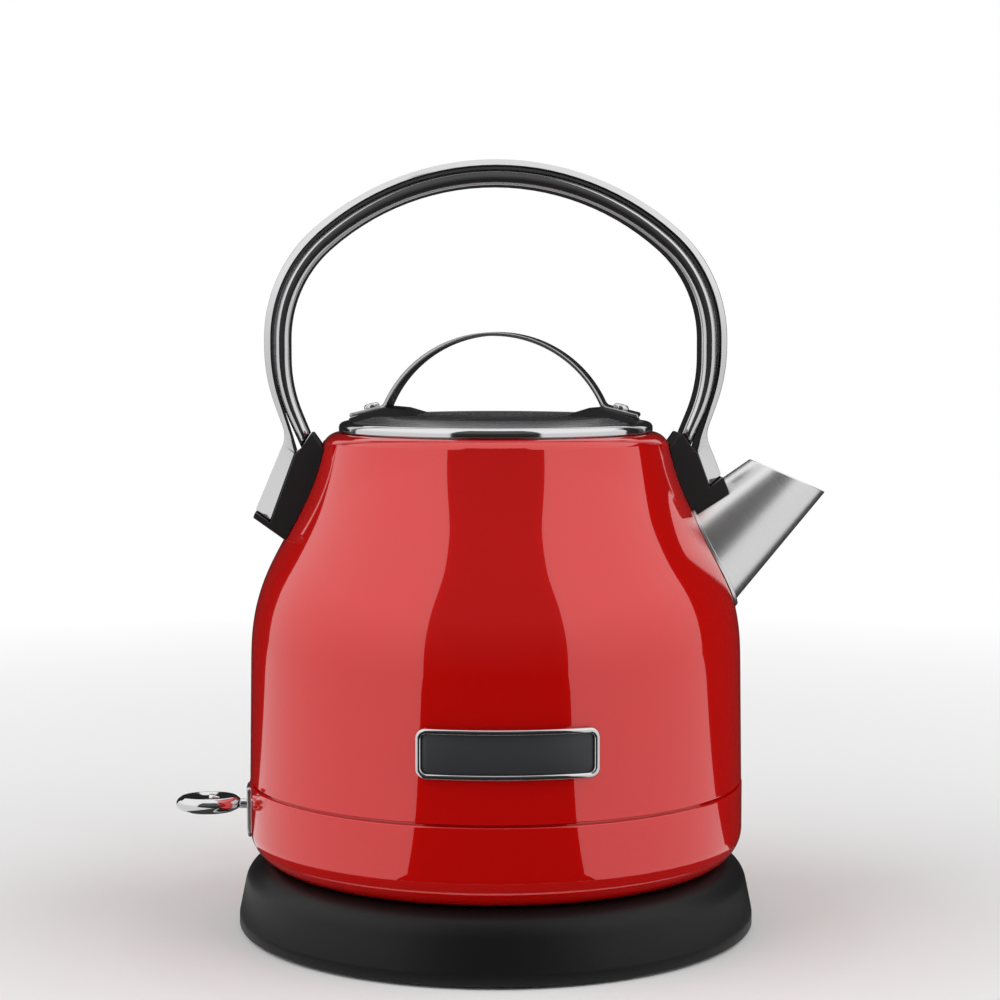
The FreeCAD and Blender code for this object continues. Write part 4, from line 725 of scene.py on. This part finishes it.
# switch lever and its plate
leverLook = {"length": 22.4, "width": 17.6, "thick": 5.6, "tip": -110.7, "level": 18.55, "drawn": 9.8}
switchPlateLook = {"reach": 85.3, "bendAt": 11.5, "bendRadius": 11.6}


def makeSwitch():
    half = leverLook["thick"] / 2
    long, wide = leverLook["length"] / 2, leverLook["width"] / 2
    paddle = turned([
        (0, half - 1.0), (3.0, half - 0.85, 9.0), (6.4, half - 0.05, 0.8), (8.2, half - 0.35, 1.4),
        (10.0, 0.9, 2.2), (9.6, -1.5, 2.2), (7.2, -half, 1.5), (0, -half)], 96)
    bmesh.ops.scale(
        paddle, vec=(long / leverLook["drawn"], wide / leverLook["drawn"], 1.0), verts=paddle.verts)
    moved(paddle, Matrix.Translation((leverLook["tip"] + long, 0, leverLook["level"])))
    stem = turned([
        (0, 0), (1.6, 0), (1.6, 12.0), (1.9, 14.5, 3.0), (3.4, 18.5, 2.0), (3.4, 19.5), (0, 19.5)], 40)
    moved(stem, Matrix.Translation((-79.8, 0, 18.2)) @ Matrix.Rotation(math.radians(-90), 4, "Y"))
    place("switchLever", lifted(joinedMesh(paddle, stem), foot), "polishedSteel", "switch", ["switch_lever"],
          "polished_steel", weighted=False)

    plate = flatRing(
        [(-6.5, 7.7, 1.6), (6.5, 7.7, 1.6), (6.5, 24.8, 1.6), (-6.5, 24.8, 1.6)],
        [(-2.2, 13.4, 1.6), (2.2, 13.4, 1.6), (2.2, 20.5, 1.6), (-2.2, 20.5, 1.6)], 1.0, 0.35)
    sliced(sliced(plate, 0, -6, 6.4, 1.5), 2, 8.2, 24.4, 0.9)
    reach, bendAt, bendRadius = (switchPlateLook[key] for key in ("reach", "bendAt", "bendRadius"))
    for vert in plate.verts:
        # down the straight side of the band, then round its foot, at the lever's side
        out, height = reach - vert.co.y, vert.co.z
        if height < bendAt:
            bend = (bendAt - height) / bendAt
            out = reach - bendRadius + (bendRadius - vert.co.y) * math.cos(bend)
            height = bendAt - (bendRadius - vert.co.y) * math.sin(bend)
        angle = math.pi - vert.co.x / reach
        vert.co = Vector((out * math.cos(angle), out * math.sin(angle), height))
    bmesh.ops.recalc_face_normals(plate, faces=plate.faces)
    place("switchPlate", lifted(plate, foot), "plateSteel", "kettle", ["switch_escutcheon"], "brushed_steel",
          weighted=False)


makeSwitch()
print("switch made")


# the rest of the frame keeps its own meshes and gets finishes
nodeFinish = {
    "base_plate": "blackBase", "base_feet": "blackRubber", "base_screws": "plainSteel",
    "connector_contacts": "brassContact", "cord_gland": "blackRubber",
    "connector_socket": "darkSocket", "socket_contacts": "brassContact",
    "bottom_cover": "blackBase", "bottom_screws": "plainSteel", "heating_plate": "plainSteel",
    "floor_seal": "paleRubber", "heat_spreader": "castAlloy", "heating_element": "castAlloy",
    "control_unit": "darkSocket", "steam_tube": "plainSteel", "switch_cradle": "darkSocket",
    "bracket_screws": "plainSteel", "switch_rocker": "darkSocket", "switch_pin": "plainSteel",
    "filter_frame": "darkSocket", "filter_mesh": "plainSteel",
    "lid_plug": "plainSteel", "lid_seal": "paleRubber",
}
for node, finish in nodeFinish.items():
    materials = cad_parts[node].data.materials
    materials.clear()
    materials.append(finishes[finish])
print("frame nodes finished:", len(nodeFinish))


# pale floor that fades into the white surround
stageLook = {"size": 12.0, "colour": 0.86, "fadeFrom": 0.14, "fadeTo": 0.85}


def seenOrMirrored(make):
    names = ("Is Camera Ray", "Is Glossy Ray", "Is Transmission Ray")
    seen, reflected, through = (make.node("ShaderNodeLightPath", output=name) for name in names)
    return (seen + reflected + through).clamped(0.0, 1.0)


def makeFloor():
    bm = bmesh.new()
    bmesh.ops.create_grid(bm, x_segments=2, y_segments=2, size=stageLook["size"] / 2)
    floor = asObject("floor", bm)
    make = Finish("paperFloor")
    shade = stageLook["colour"]
    paper = make.node("ShaderNodeBsdfPrincipled", sockets={
        "Base Color": (shade, shade, shade, 1), "Roughness": 0.85, "Specular IOR Level": 0.1})
    white = make.node("ShaderNodeEmission", sockets={"Color": (1, 1, 1, 1), "Strength": 1.0})
    far = make.node("ShaderNodeVectorMath", {"operation": "LENGTH"}, {0: make.where()}, output="Value")
    fade = ((far - stageLook["fadeFrom"]) / (stageLook["fadeTo"] - stageLook["fadeFrom"])).clamped(0.0, 1.0)
    mixed = make.node("ShaderNodeMixShader", sockets={0: fade * seenOrMirrored(make), 1: paper, 2: white})
    floor.data.materials.append(make.shown(mixed))


makeFloor()


# studio cards, dark and bright, that only mirror-like surfaces see; at cardRise they reach their high shade
cardRise = 0.9
cardLook = [
    {"name": "frontCard", "middle": -92.6, "spread": 32.0, "low": 0.02, "high": 0.10,
     "line": [(0.13, 0.001), (1.7, 0.001), (1.7, 3.8)]},
    {"name": "leftCard", "middle": -172.9, "spread": 48.3, "low": 0.75, "high": 1.02,
     "line": [(0.13, 0.001), (1.7, 0.001), (1.7, 2.6)]},
    {"name": "rightCard", "middle": -22.6, "spread": 38.0, "low": 0.75, "high": 1.02,
     "line": [(0.13, 0.001), (1.7, 0.001), (1.7, 2.6)]},
    {"name": "rearCard", "middle": 77.1, "spread": 61.7, "low": 0.02, "high": 0.02,
     "line": [(0.13, 0.001), (1.7, 0.001), (1.7, 1.2)]},
    {"name": "nearCard", "middle": -92.6, "spread": 180.0, "low": 0.05, "high": 0.05,
     "line": [(0.095, 0.001), (0.13, 0.001)]},
]


def makeCards():
    for look in cardLook:
        bm = bmesh.new()
        drawOutline(bm, look["line"], False)
        bmesh.ops.rotate(bm, verts=bm.verts, cent=(0, 0, 0), matrix=Matrix.Rotation(
            math.radians(look["middle"] - look["spread"]), 3, "Z"))
        bmesh.ops.spin(
            bm, geom=bm.verts[:] + bm.edges[:], cent=(0, 0, 0), axis=(0, 0, 1),
            angle=math.radians(2 * look["spread"]), steps=32)
        card = asObject(look["name"], bm)
        make = Finish(look["name"])
        rise = (make.part(make.where(), 2) / cardRise).clamped(0.0, 1.0)
        shade = make.blend(rise, [look["low"]] * 3 + [1], [look["high"]] * 3 + [1])
        glow = make.node("ShaderNodeEmission", sockets={"Color": shade, "Strength": 1.0})
        card.data.materials.append(make.shown(glow))
        card.visible_camera = False
        card.visible_diffuse = False
        card.visible_shadow = False
        card.visible_transmission = False


makeCards()


# soft studio light, in a surround that is white where it is seen or mirrored
lampLook = {"size": (2.0, 1.5), "power": 19.0, "aim": (0, 0, 0.12), "surround": 0.38}
lampPlaces = {"leftBox": (-1.30, -0.34, 0.95), "rightBox": (1.30, -0.34, 0.95)}


def makeLight():
    for name, at in lampPlaces.items():
        lamp = bpy.data.lights.new(name, "AREA")
        lamp.shape = "RECTANGLE"
        lamp.size, lamp.size_y = lampLook["size"]
        lamp.energy = lampLook["power"]
        thing = bpy.data.objects.new(name, lamp)
        thing.location = at
        thing.rotation_euler = (Vector(lampLook["aim"]) - Vector(at)).to_track_quat("-Z", "Y").to_euler()
        thing.visible_camera = False
        thing.visible_glossy = False
        bpy.context.scene.collection.objects.link(thing)
    world = bpy.data.worlds.new("surround")
    bpy.context.scene.world = world
    make = Finish("surround", world)
    soft, white = (
        make.node("ShaderNodeBackground", sockets={"Color": (1, 1, 1, 1), "Strength": strength})
        for strength in (lampLook["surround"], 1.0))
    make.shown(make.node("ShaderNodeMixShader", sockets={0: seenOrMirrored(make), 1: soft, 2: white}))


makeLight()


# camera where the photograph was taken from, aimed lower because the kettle stands on its base
cameraLook = {"at": (-0.0364, -0.8012, 0.2084), "lens": 83.9, "pitch": 4.4, "turn": -2.705}


def makeCamera():
    lens = bpy.data.cameras.new("camera")
    lens.lens = cameraLook["lens"]
    lens.sensor_width = 36.0
    lens.clip_start = 0.01
    thing = bpy.data.objects.new("camera", lens)
    thing.location = cameraLook["at"]
    thing.rotation_euler = (
        math.radians(90.0 - cameraLook["pitch"]), 0.0, math.radians(cameraLook["turn"]))
    bpy.context.scene.collection.objects.link(thing)
    bpy.context.scene.camera = thing


makeCamera()
bpy.context.scene.view_settings.view_transform = "Standard"
print("stage, light and camera made")
